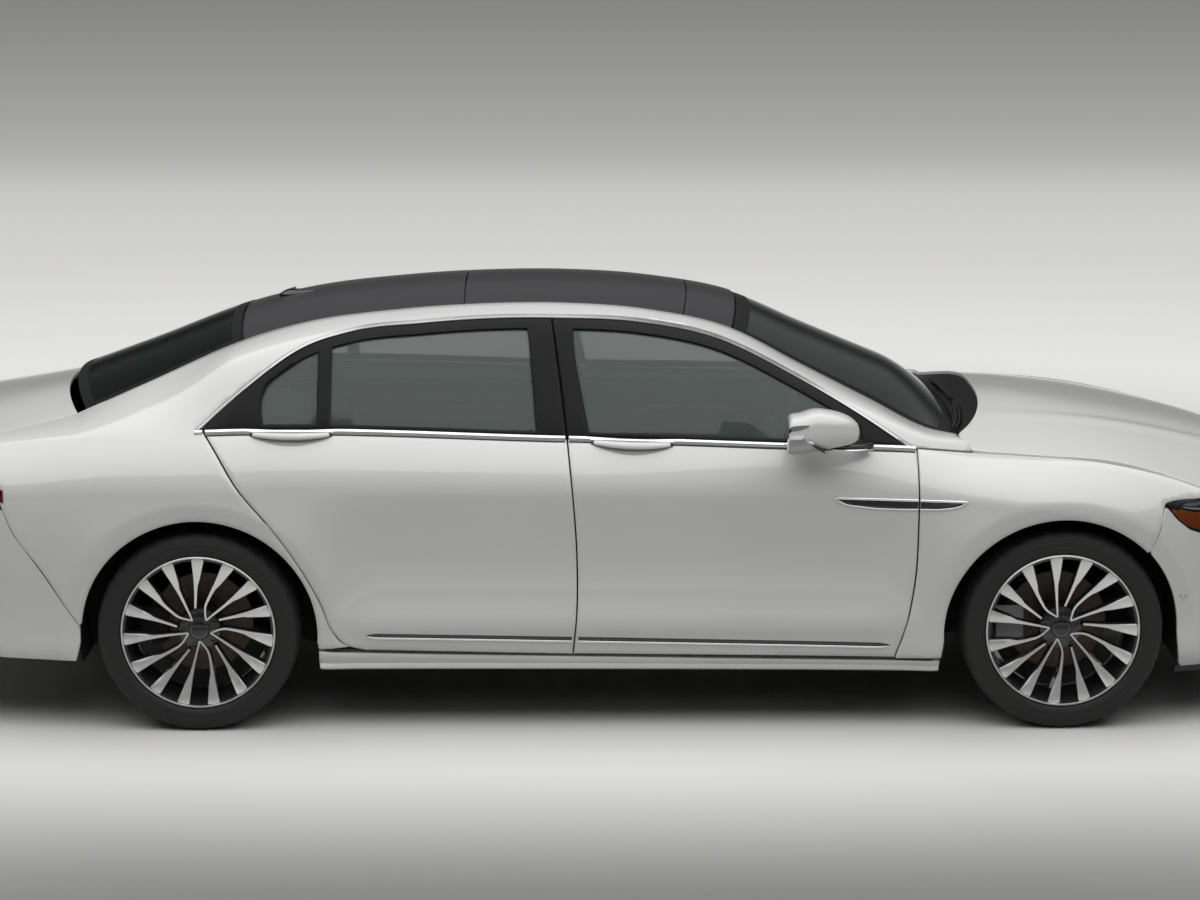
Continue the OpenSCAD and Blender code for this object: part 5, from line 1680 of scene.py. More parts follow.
@dataclass
class Wheel:
    """Road wheel: tyre, barrel, fifteen two-tone spokes, cap, brake disc and caliper."""

    side: Side
    axle: Axle
    hub_z: float = 350.0
    track: float = 806.0
    rim_r: float = 268.0
    tyre_r: float = 350.0
    half: float = 122.5
    turn: float = 0.0
    tread_steps: int = 136

    @property
    def centre(self) -> Array:
        """Middle of the tyre."""
        return np.array([self.axle.value, self.track * self.side.value, self.hub_z])

    @property
    def tag(self) -> str:
        """Ending of this wheel's names."""
        return f"{self.axle.word}_{self.side.word}"

    @property
    def body(self) -> str:
        """Body that the wheel turns with."""
        return f"road_wheel_{self.tag}"

    def polar(self, r: Array, a: Array, w: Array) -> Array:
        """Points at a radius, an angle seen from outside and an offset outward.

        Args:
            r: radii.
            a: angles in degrees.
            w: offsets from the tyre's middle.
        Returns:
            Array of points.
        """
        q = np.radians(a)
        return np.stack([self.centre[0] + self.side.value * -r * np.cos(q),
                         self.centre[1] + self.side.value * w + 0 * q,
                         self.centre[2] + r * np.sin(q)], axis=-1)

    def ring(self, name: str, profile: Sequence[Pair], steps: int = 96) -> bpy.types.Object:
        """Turned piece about the axle."""
        return Forge.turned(name, profile, self.centre, self.side.value, steps)

    def tyre(self) -> None:
        """Tyre with grooved tread, shoulder blocks and ringed walls."""
        h, r, t = self.rim_r, self.tyre_r, self.half
        wall = [(h - 8, t - 26), (h + 1, t - 20), (h + 4, t - 9), (h + 12, t - 3.5), (h + 15, t - 3.2),
                (h + 17, t - 1.2), (h + 26, t + 0.0), (h + 28, t - 1.4), (h + 44, t - 0.6), (h + 46, t - 2.0),
                (r - 26, t - 4.5), (r - 16, t - 8.5), (r - 8, t - 15.5), (r - 3.0, t - 25)]
        tread: List[Pair] = []
        for g in (66, 22):
            tread += [(r - 0.4, g + 8), (r - 7.5, g + 6), (r - 7.5, g - 6), (r, g - 8)]
        outer = wall + tread
        profile = outer + [(a, -b) for a, b in reversed(outer)]
        inner = [(h - 8, -t + 38), (h + 6, -t + 28), (h + 34, -t + 18), (r - 26, -t + 22), (r - 16, -t + 44),
                 (r - 16, t - 44), (r - 26, t - 22), (h + 34, t - 18), (h + 6, t - 28), (h - 8, t - 38)]
        steps = self.tread_steps
        p = np.array(profile + inner)
        a = np.linspace(0, 2 * math.pi, steps, endpoint=False)
        radius = np.tile(p[:, 0], (steps, 1))
        shoulder = (np.abs(p[:, 1]) > t - 48) & (p[:, 0] > r - 9) & (np.arange(len(p)) < len(profile))
        radius[::4, shoulder] -= 4.0
        grid = np.stack([self.centre[0] + radius * np.cos(a)[:, None],
                         self.centre[1] + np.tile(p[:, 1] * self.side.value, (steps, 1)),
                         self.centre[2] + radius * np.sin(a)[:, None]], axis=-1)
        faces = Forge.over(Forge.hoop(steps, len(p)), self.side is Side.LEFT)
        obj = Forge.mesh(f"tyre_tread_{self.tag}", grid.reshape(-1, 3), faces, sharp=28)
        fit(obj, self.body, RUBBER, [f"tyre_{self.tag}"])

    def barrel(self) -> None:
        """Black barrel with a bright outer flange."""
        h, t = self.rim_r, self.half
        deep = [(h - 0.5, t - 19), (h - 11, t - 22), (h - 16, 40), (h - 30, 20), (h - 30, -40),
                (h - 16, 40 - t), (h - 11, 22 - t), (h - 0.5, 19 - t), (h - 0.5, 12 - t), (h - 16, 12 - t),
                (h - 24, 30 - t), (h - 36, -36), (h - 36, 16), (h - 24, 42), (h - 19, t - 26),
                (h - 15, t - 15), (h - 2, t - 12.5)]
        fit(self.ring(f"rim_barrel_{self.tag}", deep), self.body, POCKET)
        flange = [(h - 0.4, t - 14), (h - 0.6, t - 10), (h - 2.5, t - 8.6), (h - 6, t - 9.4),
                  (h - 7.5, t - 12), (h - 6, t - 14)]
        fit(self.ring(f"rim_flange_{self.tag}", flange, 128), self.body, SILVER)

    def dish(self, r: Array) -> Array:
        """Offset of the spoke faces outward at a radius."""
        return np.interp(r, [30, 60, 110, 180, 235, 252], [66, 68, 76, 92, 106, 108.5])

    def spoke(self, line: Array) -> List[bpy.types.Object]:
        """Black spoke body and its machined face.

        Args:
            line: middle line of the spoke in the plane of the wheel, outward.
        Returns:
            The two meshes.
        """
        share = np.hypot(line[:, 0], line[:, 1]) / self.rim_r
        d = unit(np.gradient(line, axis=0))
        n = np.stack([-d[:, 1], d[:, 0]], axis=1)
        lead = self.rim_r * np.interp(share, [0.15, 0.3, 0.5, 0.62, 0.7, 0.97],
                                      [0.011, 0.013, 0.019, 0.028, 0.036, 0.068])
        trail = self.rim_r * np.interp(share, [0.15, 0.3, 0.5, 0.6, 0.68, 0.97],
                                       [0.011, 0.013, 0.018, 0.024, 0.046, 0.092])
        made = []
        for part, grow, top, low, crown in (("body", 1.4, -1.6, -38.0, 0.0), ("face", 0.0, 0.0, -3.4, 0.3)):
            rows = []
            for k, up in ((-1, low), (-1, top - 0.9), (-0.93, top), (0, top + crown), (0.93, top),
                          (1, top - 0.9), (1, low)):
                spread = 1.15 if part == "body" and up == low else 1.0
                half = (lead if k > 0 else trail) + grow
                q = line + n * (half * k * spread)[:, None]
                r = np.hypot(q[:, 0], q[:, 1])
                rows.append(self.polar(r, np.degrees(np.arctan2(q[:, 1], q[:, 0])), self.dish(r) + up))
            grid = np.array(rows)
            a, b = grid.shape[:2]
            faces = Forge.grid_faces(a, b, True)
            faces += [[i * b for i in range(a)][::-1], [i * b + b - 1 for i in range(a)]]
            faces = Forge.over(faces, self.side is Side.RIGHT)
            made.append(Forge.mesh(part, grid.reshape(-1, 3), faces, sharp=35))
        return made

    def spokes(self) -> None:
        """Fifteen spokes in five groups: a straight one, a hooked one and a free one."""
        plans = ([(0.15, 0), (0.97, -12)],
                 [(0.15, 1), (0.195, 11), (0.245, 17.4), (0.326, 20.6), (0.432, 18.8), (0.557, 16.5),
                  (0.68, 14.4), (0.97, 11.8)],
                 [(0.29, 45), (0.97, 36)])
        bodies, faces = [], []
        for k in range(5):
            for plan in plans:
                q = np.array([(r * self.rim_r, math.radians(54 + 72 * k + a + self.turn)) for r, a in plan])
                flat = np.stack([q[:, 0] * np.cos(q[:, 1]), q[:, 0] * np.sin(q[:, 1])], axis=1)
                a, b = self.spoke(through(flat, 5.0) if len(plan) > 2 else straight(flat, 5.0))
                bodies.append(a)
                faces.append(b)
        fit(Forge.join(f"spoke_bodies_{self.tag}", bodies), self.body, POCKET, [f"wheel_{self.tag}"])
        fit(Forge.join(f"spoke_faces_{self.tag}", faces), self.body, SILVER, [f"wheel_{self.tag}"])

    def hub(self) -> None:
        """Hub with bolts, bare cap and its bright ring, and the brake disc."""
        core = [(0.5, 70), (34, 70), (36, 67), (54, 66), (72, 58), (76, 44), (76, -40), (31, -40), (31, 40),
                (0.5, 40)]
        fit(self.ring(f"wheel_hub_{self.tag}", core, 64), self.body, POCKET)
        cap = [(0.5, 75.5), (18, 75.2), (25, 74), (26, 72), (26, 66), (0.5, 66)]
        fit(self.ring(f"wheel_cap_{self.tag}", cap, 64), self.body, GLOSS_BLACK)
        edge = [(25.5, 75), (26.5, 76.6), (28.5, 76.2), (29.5, 73), (29, 68), (25.5, 68)]
        fit(self.ring(f"cap_ring_{self.tag}", edge, 64), self.body, DARK_CHROME)
        bolts = []
        for k in range(5):
            a = math.radians(72 * k + 36 + self.turn)
            p = self.polar(np.array(57.0), np.degrees(a), np.array(0.0)) - self.centre
            spot = self.centre + [p[0], 0, p[2]]
            bolts.append(Forge.turned("bolt", [(0.5, 64), (5, 64), (6, 69), (9, 70), (10, 66), (10, 54),
                                               (0.5, 54)], spot, self.side.value, 24))
        fit(Forge.join(f"wheel_bolts_{self.tag}", bolts), self.body, POCKET.on("steel"))
        disc = [(72, -64), (92, -64), (94, -66), (174, -66), (176, -68), (176, -76), (172, -77), (172, -80),
                (176, -81), (176, -90), (174, -91), (94, -91), (72, -91)]
        # The disc's dark finish holds painted shade.
        fit(self.ring(f"brake_disc_{self.tag}", disc, 96), self.body, IRON_WITH_PAINTED_SHADE)

    def caliper(self) -> None:
        """Caliper over the rear part of the disc, on the hub carrier."""
        section = np.array([(196, -58), (193, -47), (150, -46), (132, -52), (132, -60), (178, -61),
                            (182, -64), (182, -94), (178, -97), (140, -97), (140, -110), (186, -112),
                            (200, -104), (203, -80)])
        rear = 0 if self.side is Side.LEFT else 180
        reach, middle = 27, 166
        rows = []
        for ang in np.linspace(-reach, reach, 19):
            taper = 1 - 0.25 * (abs(ang) / reach) ** 4
            r = middle + (section[:, 0] - middle) * taper
            rows.append(self.polar(r, np.full(len(r), ang + rear), section[:, 1]))
        grid = np.array(rows)
        faces = Forge.hoop(*grid.shape[:2], False) + Forge.caps(*grid.shape[:2])
        obj = Forge.mesh(f"brake_caliper_{self.tag}", grid.reshape(-1, 3), faces, sharp=30, bevel=2.0)
        fit(obj, f"hub_{self.tag}" if self.axle is Axle.FRONT else "shell", CALIPER)

    def build(self) -> None:
        """The whole wheel."""
        self.tyre()
        self.barrel()
        self.spokes()
        self.hub()
        self.caliper()


@dataclass
class DoorDetails:
    """Mirror, handles, belt strip, spear and rocker strips of one side."""

    side: Side
    handle_len: float = 290.0
    handle_dip: float = 15.0
    front_handle_x: float = 74.0
    rear_handle_x: float = -1098.0
    front_cut: float = 1058.0
    shut: float = 2.6

    def bead(self, name: str, row: Array, half: float, high: float, lift: float, body: str, finish: Finish,
             taper: Optional[Array] = None, lean: float = 0.0) -> bpy.types.Object:
        """Rounded strip lying on the side skin.

        Args:
            name: piece name without the side.
            row: middle line as chart places.
            half: half width on the skin.
            high: half height over the skin.
            lift: distance of its middle from the skin.
            body: body of the frame.
            finish: surface finish.
            taper: factor on the section along the row.
            lean: distance below the row where its outward direction is taken.
        Returns:
            The piece.
        """
        k = self.side.mirror
        up = LINES.normal(row[:, 0], row[:, 1] - lean)
        path = LINES.skin(row[:, 0], row[:, 1]) + up * lift
        obj = Forge.tube(f"{name}_{self.side.word}", path * k, half, 14, flat=high / half, up=up * k,
                         taper=taper)
        return fit(obj, body, finish)

    def plate(self, name: str, rows: Sequence[Array], lift: float, thick: float, body: str, finish: Finish,
              edge: float = 1.2) -> bpy.types.Object:
        """Flat inlay on the side skin.

        Args:
            name: piece name without the side.
            rows: side-view rows that make up the outline.
            lift: distance of its face from the skin.
            thick: thickness.
            body: body of the frame.
            finish: surface finish.
            edge: radius of its rim.
        Returns:
            The piece.
        """
        row = np.vstack(list(rows))
        obj = Forge.chart_panel(f"{name}_{self.side.word}", self.side, LINES.chart(row[:, 0], row[:, 1]),
                                step=8.0, lift=lift, thick=thick, edge=edge)
        return fit(obj, body, finish)

    def rings(self, name: str, rows: Array, body: str, finish: Finish, nodes: Sequence[str] = ()
              ) -> bpy.types.Object:
        """Closed piece through rings of points given for the left side.

        Args:
            name: piece name without the side.
            rows: rings by points.
            body: body of the frame.
            finish: surface finish.
            nodes: nodes stood for.
        Returns:
            The piece.
        """
        faces = Forge.over(Forge.hose(*rows.shape[:2]), self.side is Side.LEFT)
        points = (rows * self.side.mirror).reshape(-1, 3)
        obj = Forge.mesh(f"{name}_{self.side.word}", points, faces, sharp=48)
        return fit(obj, body, finish, nodes)

    @staticmethod
    def pillow(c: Sequence[float], d: float, h: float, low: float = -1.0, high: float = 1.0,
               n: int = 44) -> Array:
        """Rounded outline across X, cut to a band of its height.

        Args:
            c: centre.
            d: half depth.
            h: half height.
            low: lowest share kept.
            high: greatest share kept.
            n: points.
        Returns:
            Ring of points.
        """
        a = np.linspace(0, 2 * math.pi, n, endpoint=False)
        u, v = np.cos(a), np.sin(a)
        r = (np.abs(u) ** 2.7 + np.abs(v) ** 2.7) ** (-1 / 2.7)
        return np.stack([np.full(n, c[0]), c[1] + d * u * r, c[2] + h * np.clip(v * r, low, high)], axis=1)

    def mirror(self) -> None:
        """Door mirror: painted cap with a dark slot, bright sweep below, glass and arm."""
        body = f"door_front_{self.side.word}"
        keys = [(601, 1002, 1053, 77, 56), (606, 1002, 1056, 81, 64), (640, 1002, 1061, 84, 69),
                (690, 1001, 1072, 84, 72), (740, 1000, 1075, 80, 65), (785, 998, 1073, 70, 55),
                (820, 995, 1068, 54, 42), (838, 992, 1064, 36, 28), (845, 990, 1062, 16, 13)]
        fine = through(keys, 6.0)

        def band(lo: Sequence[float], hi: Sequence[float], k: float, x0: float, x1: float) -> Array:
            """Rings between two shares of the height, given at five places along the housing."""
            spots = [600, 650, 690, 735, 850]
            rows = [q for q in fine if x0 <= q[0] <= x1]
            return np.array([self.pillow(q[:3], q[3] * k, q[4] * k, float(np.interp(q[0], spots, lo)),
                                         float(np.interp(q[0], spots, hi))) for q in rows])

        top, cut = [1.0] * 5, [0.12, 0.08, -0.5, -1.0, -1.0]
        strip = [c - 0.2 for c in cut]
        self.rings("mirror_cap", band(cut, top, 1.0, 0, 900), body, PEARL,
                   [f"mirror_{self.side.word}"])
        self.rings("mirror_sweep", band(strip, cut, 1.012, 0, 742), body, CHROME)
        self.rings("mirror_base", band([-1.0] * 5, strip, 0.985, 0, 728), body, CAST)
        slot = band([0.36, 0.4, 0.5, 0.5, 0.5], [0.58, 0.56, 0.5, 0.5, 0.5], 1.006, 0, 668)
        self.rings("mirror_slot", slot, body, GLOSS_BLACK)
        face = np.array([self.pillow((602.0 - 3 * k, 1002, 1056), 72 - 3 * k, 54 - 3 * k) for k in (1, 0)])
        self.rings("mirror_glass", face, body, CHROME)
        path = through([(884, 896, 1002), (856, 926, 1004), (802, 956, 1008), (742, 988, 1015)], 6.0)
        grow = np.linspace(1.0, 0.8, len(path))
        for name, low, flat, finish in (("mirror_arm", 0, 0.4, GLOSS_BLACK),
                                        ("mirror_foot", -12, 0.3, CHROME)):
            arm = Forge.tube(f"{name}_{self.side.word}", (path + [0, 0, low]) * self.side.mirror, 27.0, 20,
                             flat=flat, taper=grow)
            fit(arm, body, finish)

    def belt(self) -> None:
        """Bright strip along the belt, bowed out where the handles sit, with a painted shadow line under it.
        """
        for word, x0, x1, mid in (("front", 1050, -143, self.front_handle_x),
                                  ("rear", -156, -1394, self.rear_handle_x)):
            body = f"door_{word}_{self.side.word}"
            x = np.linspace(x0, x1, 84)
            near = np.clip(1 - ((x - mid) / (self.handle_len * 0.56)) ** 2, 0, 1)
            row = np.stack([x, -2.0 - 4.0 * near], axis=1)
            self.bead(f"belt_strip_{word}", row, 8.5, 5.0, 2.5, body, CHROME, lean=40.0)
            # Thin black bead under the bright strip: a painted shadow line.
            line = np.stack([x, -13.0 - 2.0 * near], axis=1)
            self.bead(f"belt_seal_{word}", line, 3.2, 1.6, 0.4, body, SATIN_BLACK)
            self.handle(word, mid, body)
        x = np.linspace(-1404, -1432, 8)
        tail = np.stack([x, np.full(8, -2.0)], 1)
        self.bead("belt_strip_tail", tail, 8.0, 5.0, 2.5, "shell", CHROME, lean=40.0)

    def handle(self, word: str, mid: float, body: str) -> None:
        """Winged handle under the belt strip, with painted shade in its recess and at its ends.

        Args:
            word: front or rear.
            mid: middle of the handle along X.
            body: door that carries it.
        """
        t = np.linspace(-1, 1, 60)
        x = mid + t * self.handle_len / 2
        full = np.clip(1 - t * t, 0, 1)
        bowl_low = -14 - 36 * full ** 0.9
        rows = [np.stack([x, np.full_like(x, -9.0)], 1), np.stack([x[::-1], bowl_low[::-1] + 0.5], 1)]
        row = np.vstack(rows)
        # Darker grey panel behind the handle: painted shade in its recess.
        dark = Forge.chart_panel(f"handle_bowl_{word}_{self.side.word}", self.side, row, step=8.0, lift=0.5,
                                 thick=3.0, edge=1.0)
        fit(dark, body, PAINTED_SHADE_GREY)
        wing = np.stack([x, -12 - self.handle_dip * full ** 0.8], axis=1)
        up = LINES.normal(wing[:, 0], wing[:, 1])
        k = self.side.mirror
        path = (LINES.skin(wing[:, 0], wing[:, 1]) + up * (2 + 15 * full[:, None] ** 0.6)) * k
        paddle = Forge.tube(f"handle_paddle_{word}_{self.side.word}", path[3:-3], 13.0, 16, flat=0.6,
                            up=(up * k)[3:-3], taper=(0.3 + 0.7 * full ** 0.5)[3:-3])
        fit(paddle, body, PEARL)
        edge = np.stack([x, -7 - 5.0 * full], axis=1)
        up = LINES.normal(edge[:, 0], edge[:, 1])
        path = (LINES.skin(edge[:, 0], edge[:, 1]) + up * (3 + 15 * full[:, None] ** 0.6)) * k
        blade = Forge.tube(f"handle_blade_{word}_{self.side.word}", path, 6.5, 12, flat=0.6, up=up * k,
                           taper=0.5 + 0.5 * full)
        fit(blade, body, CHROME)
        # Black beads at both ends of the handle: painted shade where the handle meets the door.
        for end, tag in ((-0.86, "aft"), (0.86, "fore")):
            s = np.linspace(-0.12, 0.12, 12)
            end_shade_row = np.stack([mid + (end + s) * self.handle_len / 2,
                              -17 - 7 * (1 - np.abs(end + s * 0.5))], 1)
            self.bead(f"handle_notch_{tag}_{word}", end_shade_row, 4.5, 2.0, 1.6, body, SATIN_BLACK,
                      np.sqrt(np.clip(1 - (s / 0.12) ** 2, 0.03, 1)))

    def spear(self) -> None:
        """Long spear over the door shut line: dark inlay between bright edges, left bare."""
        top = Smooth([(764, 829), (1056, 821), (1226, 815)])
        low = Smooth([(764, 827), (800, 806), (860, 795), (1060, 787), (1150, 789), (1200, 799), (1226, 814)])
        gap = self.shut + 1
        for word, x0, x1, body in (("door", 766, self.front_cut - gap, f"door_front_{self.side.word}"),
                                   ("fender", self.front_cut + gap, 1224, "shell")):
            x = np.linspace(x0, x1, 60)
            upper, lower = np.stack([x, top(x)], 1), np.stack([x, low(x)], 1)
            self.plate(f"spear_inlay_{word}", [upper, lower[::-1]], 1.6, 5.0, body, GLOSS_BLACK)
            share = np.clip((top(x) - low(x)) / 14, 0.15, 1)
            row = LINES.chart(x, top(x) - 2.5)
            self.bead(f"spear_edge_{word}", row, 4.2, 3.4, 3.2, body, CHROME, share ** 0.5)
            row = LINES.chart(x, low(x) + 0.5)
            self.bead(f"spear_lip_{word}", row, 2.6, 2.6, 2.0, body, CHROME, share ** 0.5)

    def rockers(self) -> None:
        """Dark strip with a bright lower edge along the foot of each door."""
        mid = Smooth([(-845, 342), (-123, 327), (970, 303)])
        for word, x0, x1 in (("rear", -843, -134), ("front", -112, 966)):
            body = f"door_{word}_{self.side.word}"
            x = np.linspace(x0, x1, 90)
            end = np.clip((x - x0 if word == "rear" else x1 - x) / 40 + 0.12, 0, 1)
            upper = np.stack([x, mid(x) + 9 * end ** 0.6], 1)
            lower = np.stack([x, mid(x) - 6 * end ** 0.6], 1)
            self.plate(f"rocker_inlay_{word}", [upper, lower[::-1]], 1.5, 5.0, body, GLOSS_BLACK)
            self.bead(f"rocker_edge_{word}", LINES.chart(x, mid(x) - 8 * end ** 0.6), 3.6, 3.0, 1.8, body,
                      CHROME, end ** 0.5)
        x = np.linspace(-1006, 1138, 180)
        foot = Smooth([(-1010, 214), (-123, 210), (1142, 201)])
        up = np.array([LINES.skin(*LINES.chart(x, foot(x) + h).T) + [0, g, 0] for h, g in
                       ((0, 8), (3, 16), (9, 17), (16, 10), (24, 0))])
        inner = up - [0, 14, 0]
        k = self.side.mirror
        lip = Forge.sheet(f"sill_lip_{self.side.word}", up * k, inner * k, flip=self.side is Side.LEFT)
        fit(lip, "shell", PEARL)

    def build(self) -> None:
        """All the details of this side."""
        self.mirror()
        self.belt()
        self.spear()
        self.rockers()


@dataclass
class Cushion:
    """Crowned cushion with sewn channels."""

    name: str
    centre: Sequence[float]
    half: Sequence[float]
    pitch: float = 0.0
    rim: float = 36.0
    crown: float = 14.0
    along: Sequence[float] = ()
    across: Sequence[float] = ()
    depth: float = 8.0
    cuts: int = 15

    def points(self) -> Tuple[Array, List[List[int]]]:
        """Points and faces of the cushion."""
        bm = bmesh.new()
        bmesh.ops.create_cube(bm, size=2.0)
        bmesh.ops.subdivide_edges(bm, edges=bm.edges[:], cuts=self.cuts, use_grid_fill=True)
        bm.verts.index_update()
        cube = np.array([v.co[:] for v in bm.verts])
        faces = [[v.index for v in f.verts] for f in bm.faces]
        bm.free()
        half = np.array(self.half, dtype=float)
        r = min(self.rim, float(half.min()) * 0.98)
        place = cube * half
        core = np.clip(place, r - half, half - r)
        way = place - core
        way /= np.maximum(np.linalg.norm(way, axis=1, keepdims=True), 1e-9)
        pts = core + way * r
        u, v = cube[:, 0], cube[:, 1]
        top = np.clip(pts[:, 2] / half[2], 0, 1)
        step = 2.0 / (self.cuts + 1)
        sewn = np.zeros(len(pts))
        for axis, spots in ((u, self.along), (v, self.across)):
            for spot in spots:
                line = round(spot / step) * step
                sewn = np.maximum(sewn, np.exp(-((axis - line) / (0.7 * step)) ** 2))
        pts[:, 2] += top * (self.crown * (1 - u * u) * (1 - v * v) - self.depth * sewn)
        pts[:, 1] += 0.25 * self.crown * np.sign(v) * (np.abs(v) > 0.999) * (1 - u * u)
        a = math.radians(self.pitch)
        turned = np.stack([pts[:, 0] * math.cos(a) + pts[:, 2] * math.sin(a), pts[:, 1],
                           pts[:, 2] * math.cos(a) - pts[:, 0] * math.sin(a)], axis=1)
        return turned + np.array(self.centre, dtype=float), faces

    def build(self, nodes: Sequence[str] = (), body: str = "shell", finish: Finish = HIDE,
              soft: bool = True) -> bpy.types.Object:
        """Makes the cushion.

        Args:
            nodes: nodes stood for.
            body: body of the frame.
            finish: surface finish.
            soft: not used.
        Returns:
            The piece.
        """
        pts, faces = self.points()
        obj = fit(Forge.mesh(self.name, pts, faces, sharp=70), body, finish, nodes)
        return obj


@dataclass
class Cabin:
    """Seats, dashboard trim, steering wheel, door cards and carpets."""

    seat_y: float = 410.0
    bench_y: float = 345.0
    wheel_at: Sequence[float] = (650.0, 380.0, 830.0)
    wheel_tilt: float = 68.0
    wheel_r: float = 170.0
    door_depth: float = 92.0
    floor: float = 231.0

    @staticmethod
    def field(x: Array, y: Array) -> Array:
        """Level grid of points at height 0."""
        return np.stack([*np.meshgrid(x, y, indexing="ij"), np.zeros((len(x), len(y)))], axis=-1)

    def front_seat(self, side: Side) -> None:
        """One front seat.

        Args:
            side: side of the car.
        """
        y, tag, node = self.seat_y * side.value, side.word, [f"front_seat_{side.word}"]
        rows = (-0.55, -0.2, 0.15, 0.5)
        Cushion(f"seat_base_{tag}", (178, y, 398), (232, 180, 58), -5, 40, 14, rows).build(node)
        Cushion(f"seat_back_{tag}", (-178, y, 722), (250, 172, 52), 77, 40, 12, rows).build(node)
        for k, word in ((1, "outer"), (-1, "inner")):
            edge = y + 205 * k * side.value
            Cushion(f"seat_wing_{word}_{tag}", (182, edge, 410), (226, 44, 66), -5, 40, 8,
                    cuts=13).build(node)
            Cushion(f"back_wing_{word}_{tag}", (-176, edge - 8 * k * side.value, 712), (232, 44, 64), 77, 40,
                    8, cuts=13).build(node)
        Cushion(f"head_rest_{tag}", (-243, y, 1064), (66, 132, 40), 80, 36, 10, (0.0,)).build(node)
        Cushion(f"seat_shell_{tag}", (-236, y, 705), (232, 196, 22), 77, 20, 4, cuts=11).build(
            node, "shell", TRIM, False)
        Cushion(f"seat_plinth_{tag}", (165, y, 318), (200, 190, 38), 0, 24, 2, cuts=9).build(
            node, "shell", TRIM, False)
        posts = [Forge.tube("post", np.array([[-220, y + d, 930], [-240, y + d, 1030]]), 6.0, 12)
                 for d in (-55, 55)]
        fit(Forge.join(f"rest_posts_{tag}", posts), "shell", STEEL)
        rails = [Forge.tube("rail", np.array([[-40, y + d, 268], [390, y + d, 268]]), 12.0, 12, flat=1.2)
                 for d in (-160, 160)]
        fit(Forge.join(f"seat_rails_{tag}", rails), "shell", STEEL)

    def bench(self) -> None:
        """Rear bench with shaped backs, rests and the shelf behind it."""
        rows, node = (-0.5, -0.1, 0.3), ["rear_seat"]
        for side in Side:
            y, tag = self.bench_y * side.value, side.word
            Cushion(f"bench_base_{tag}", (-652, y, 412), (226, 262, 66), -6, 42, 14, rows,
                    (-0.6, 0.6)).build(node)
            Cushion(f"bench_back_{tag}", (-968, y, 704), (252, 262, 58), 70, 42, 14, rows,
                    (-0.6, 0.6)).build(node)
            Cushion(f"bench_rest_{tag}", (-1078, y, 962), (56, 128, 36), 74, 34, 8, cuts=13).build(node)
        Cushion("bench_middle", (-648, 0, 408), (216, 82, 64), -6, 40, 10, cuts=13).build(node)
        Cushion("bench_arm_rest", (-960, 0, 690), (236, 80, 56), 70, 38, 10, (-0.3,), cuts=13).build(node)
        top = self.field(np.linspace(-1800, -1112, 24), np.linspace(-528, 528, 30))
        for spot in (-330.0, 330.0):
            far = np.hypot((top[..., 0] + 1480) / 150, (top[..., 1] - spot) / 150)
            top[..., 2] += 5.0 * np.exp(-((far - 1) / 0.25) ** 2)
        shelf = Forge.sheet("parcel_shelf", top + [0, 0, 972], top * [1, 1, 0] + [0, 0, 953], bevel=3)
        fit(shelf, "shell", CARPET, node)

    def steering(self) -> None:
        """Leather rim, three spokes, padded boss, column shroud and stalks."""
        a = math.radians(self.wheel_tilt)
        face = np.array([-math.sin(a), 0, math.cos(a)])
        up = np.array([math.cos(a), 0, math.sin(a)])
        left = np.array([0, 1.0, 0])
        mid = np.array(self.wheel_at)
        turn = np.linspace(0, 2 * math.pi, 72, endpoint=False)
        ring = mid + np.outer(np.cos(turn), up) * self.wheel_r + np.outer(np.sin(turn), left) * self.wheel_r
        rim = Forge.tube("steering_rim", ring, 15.5, 14, closed=True, up=np.tile(face, (72, 1)))
        fit(rim, "steering", TRIM, ["steering_wheel"])
        arms, brights = [], []
        for deg in (90, 180, 270):
            way = up * math.cos(math.radians(deg)) + left * math.sin(math.radians(deg))
            path = np.array([mid + way * r + face * w for r, w in ((40, 6), (80, 5), (120, 1), (160, 0))])
            flat = np.tile(face, (4, 1))
            arms.append(Forge.tube("arm", path, 19.0, 12, flat=0.42, up=flat, taper=[1.2, 1.0, 0.85, 0.8]))
            brights.append(Forge.tube("bright", path[1:] + face * 7.5, 7.0, 10, flat=0.35, up=flat[1:],
                                      taper=[1.0, 0.9, 0.6]))
        fit(Forge.join("steering_arms", arms), "steering", TRIM, ["steering_wheel"])
        fit(Forge.join("steering_brights", brights), "steering", SILVER)
        Cushion("steering_boss", mid + face * 8, (58, 70, 22), -self.wheel_tilt, 20, 6, cuts=11).build(
            ["steering_wheel"], "steering", TRIM, False)
        column = np.array([mid - face * w for w in (46, 90, 150, 205)])
        shroud = Forge.tube("column_shroud", column, 47.0, 20, flat=1.15, taper=[0.86, 1.0, 1.1, 1.2])
        fit(shroud, "shell", TRIM)
        sticks = [Forge.tube("stick", np.array([mid - face * 74 + left * k * d + up * h for d, h in
                                                ((40, 0), (90, 6), (150, 16))]), 7.0, 10, flat=0.7,
                             taper=[0.8, 0.9, 1.2]) for k in (-1, 1)]
        fit(Forge.join("column_stalks", sticks), "shell", SATIN_BLACK)

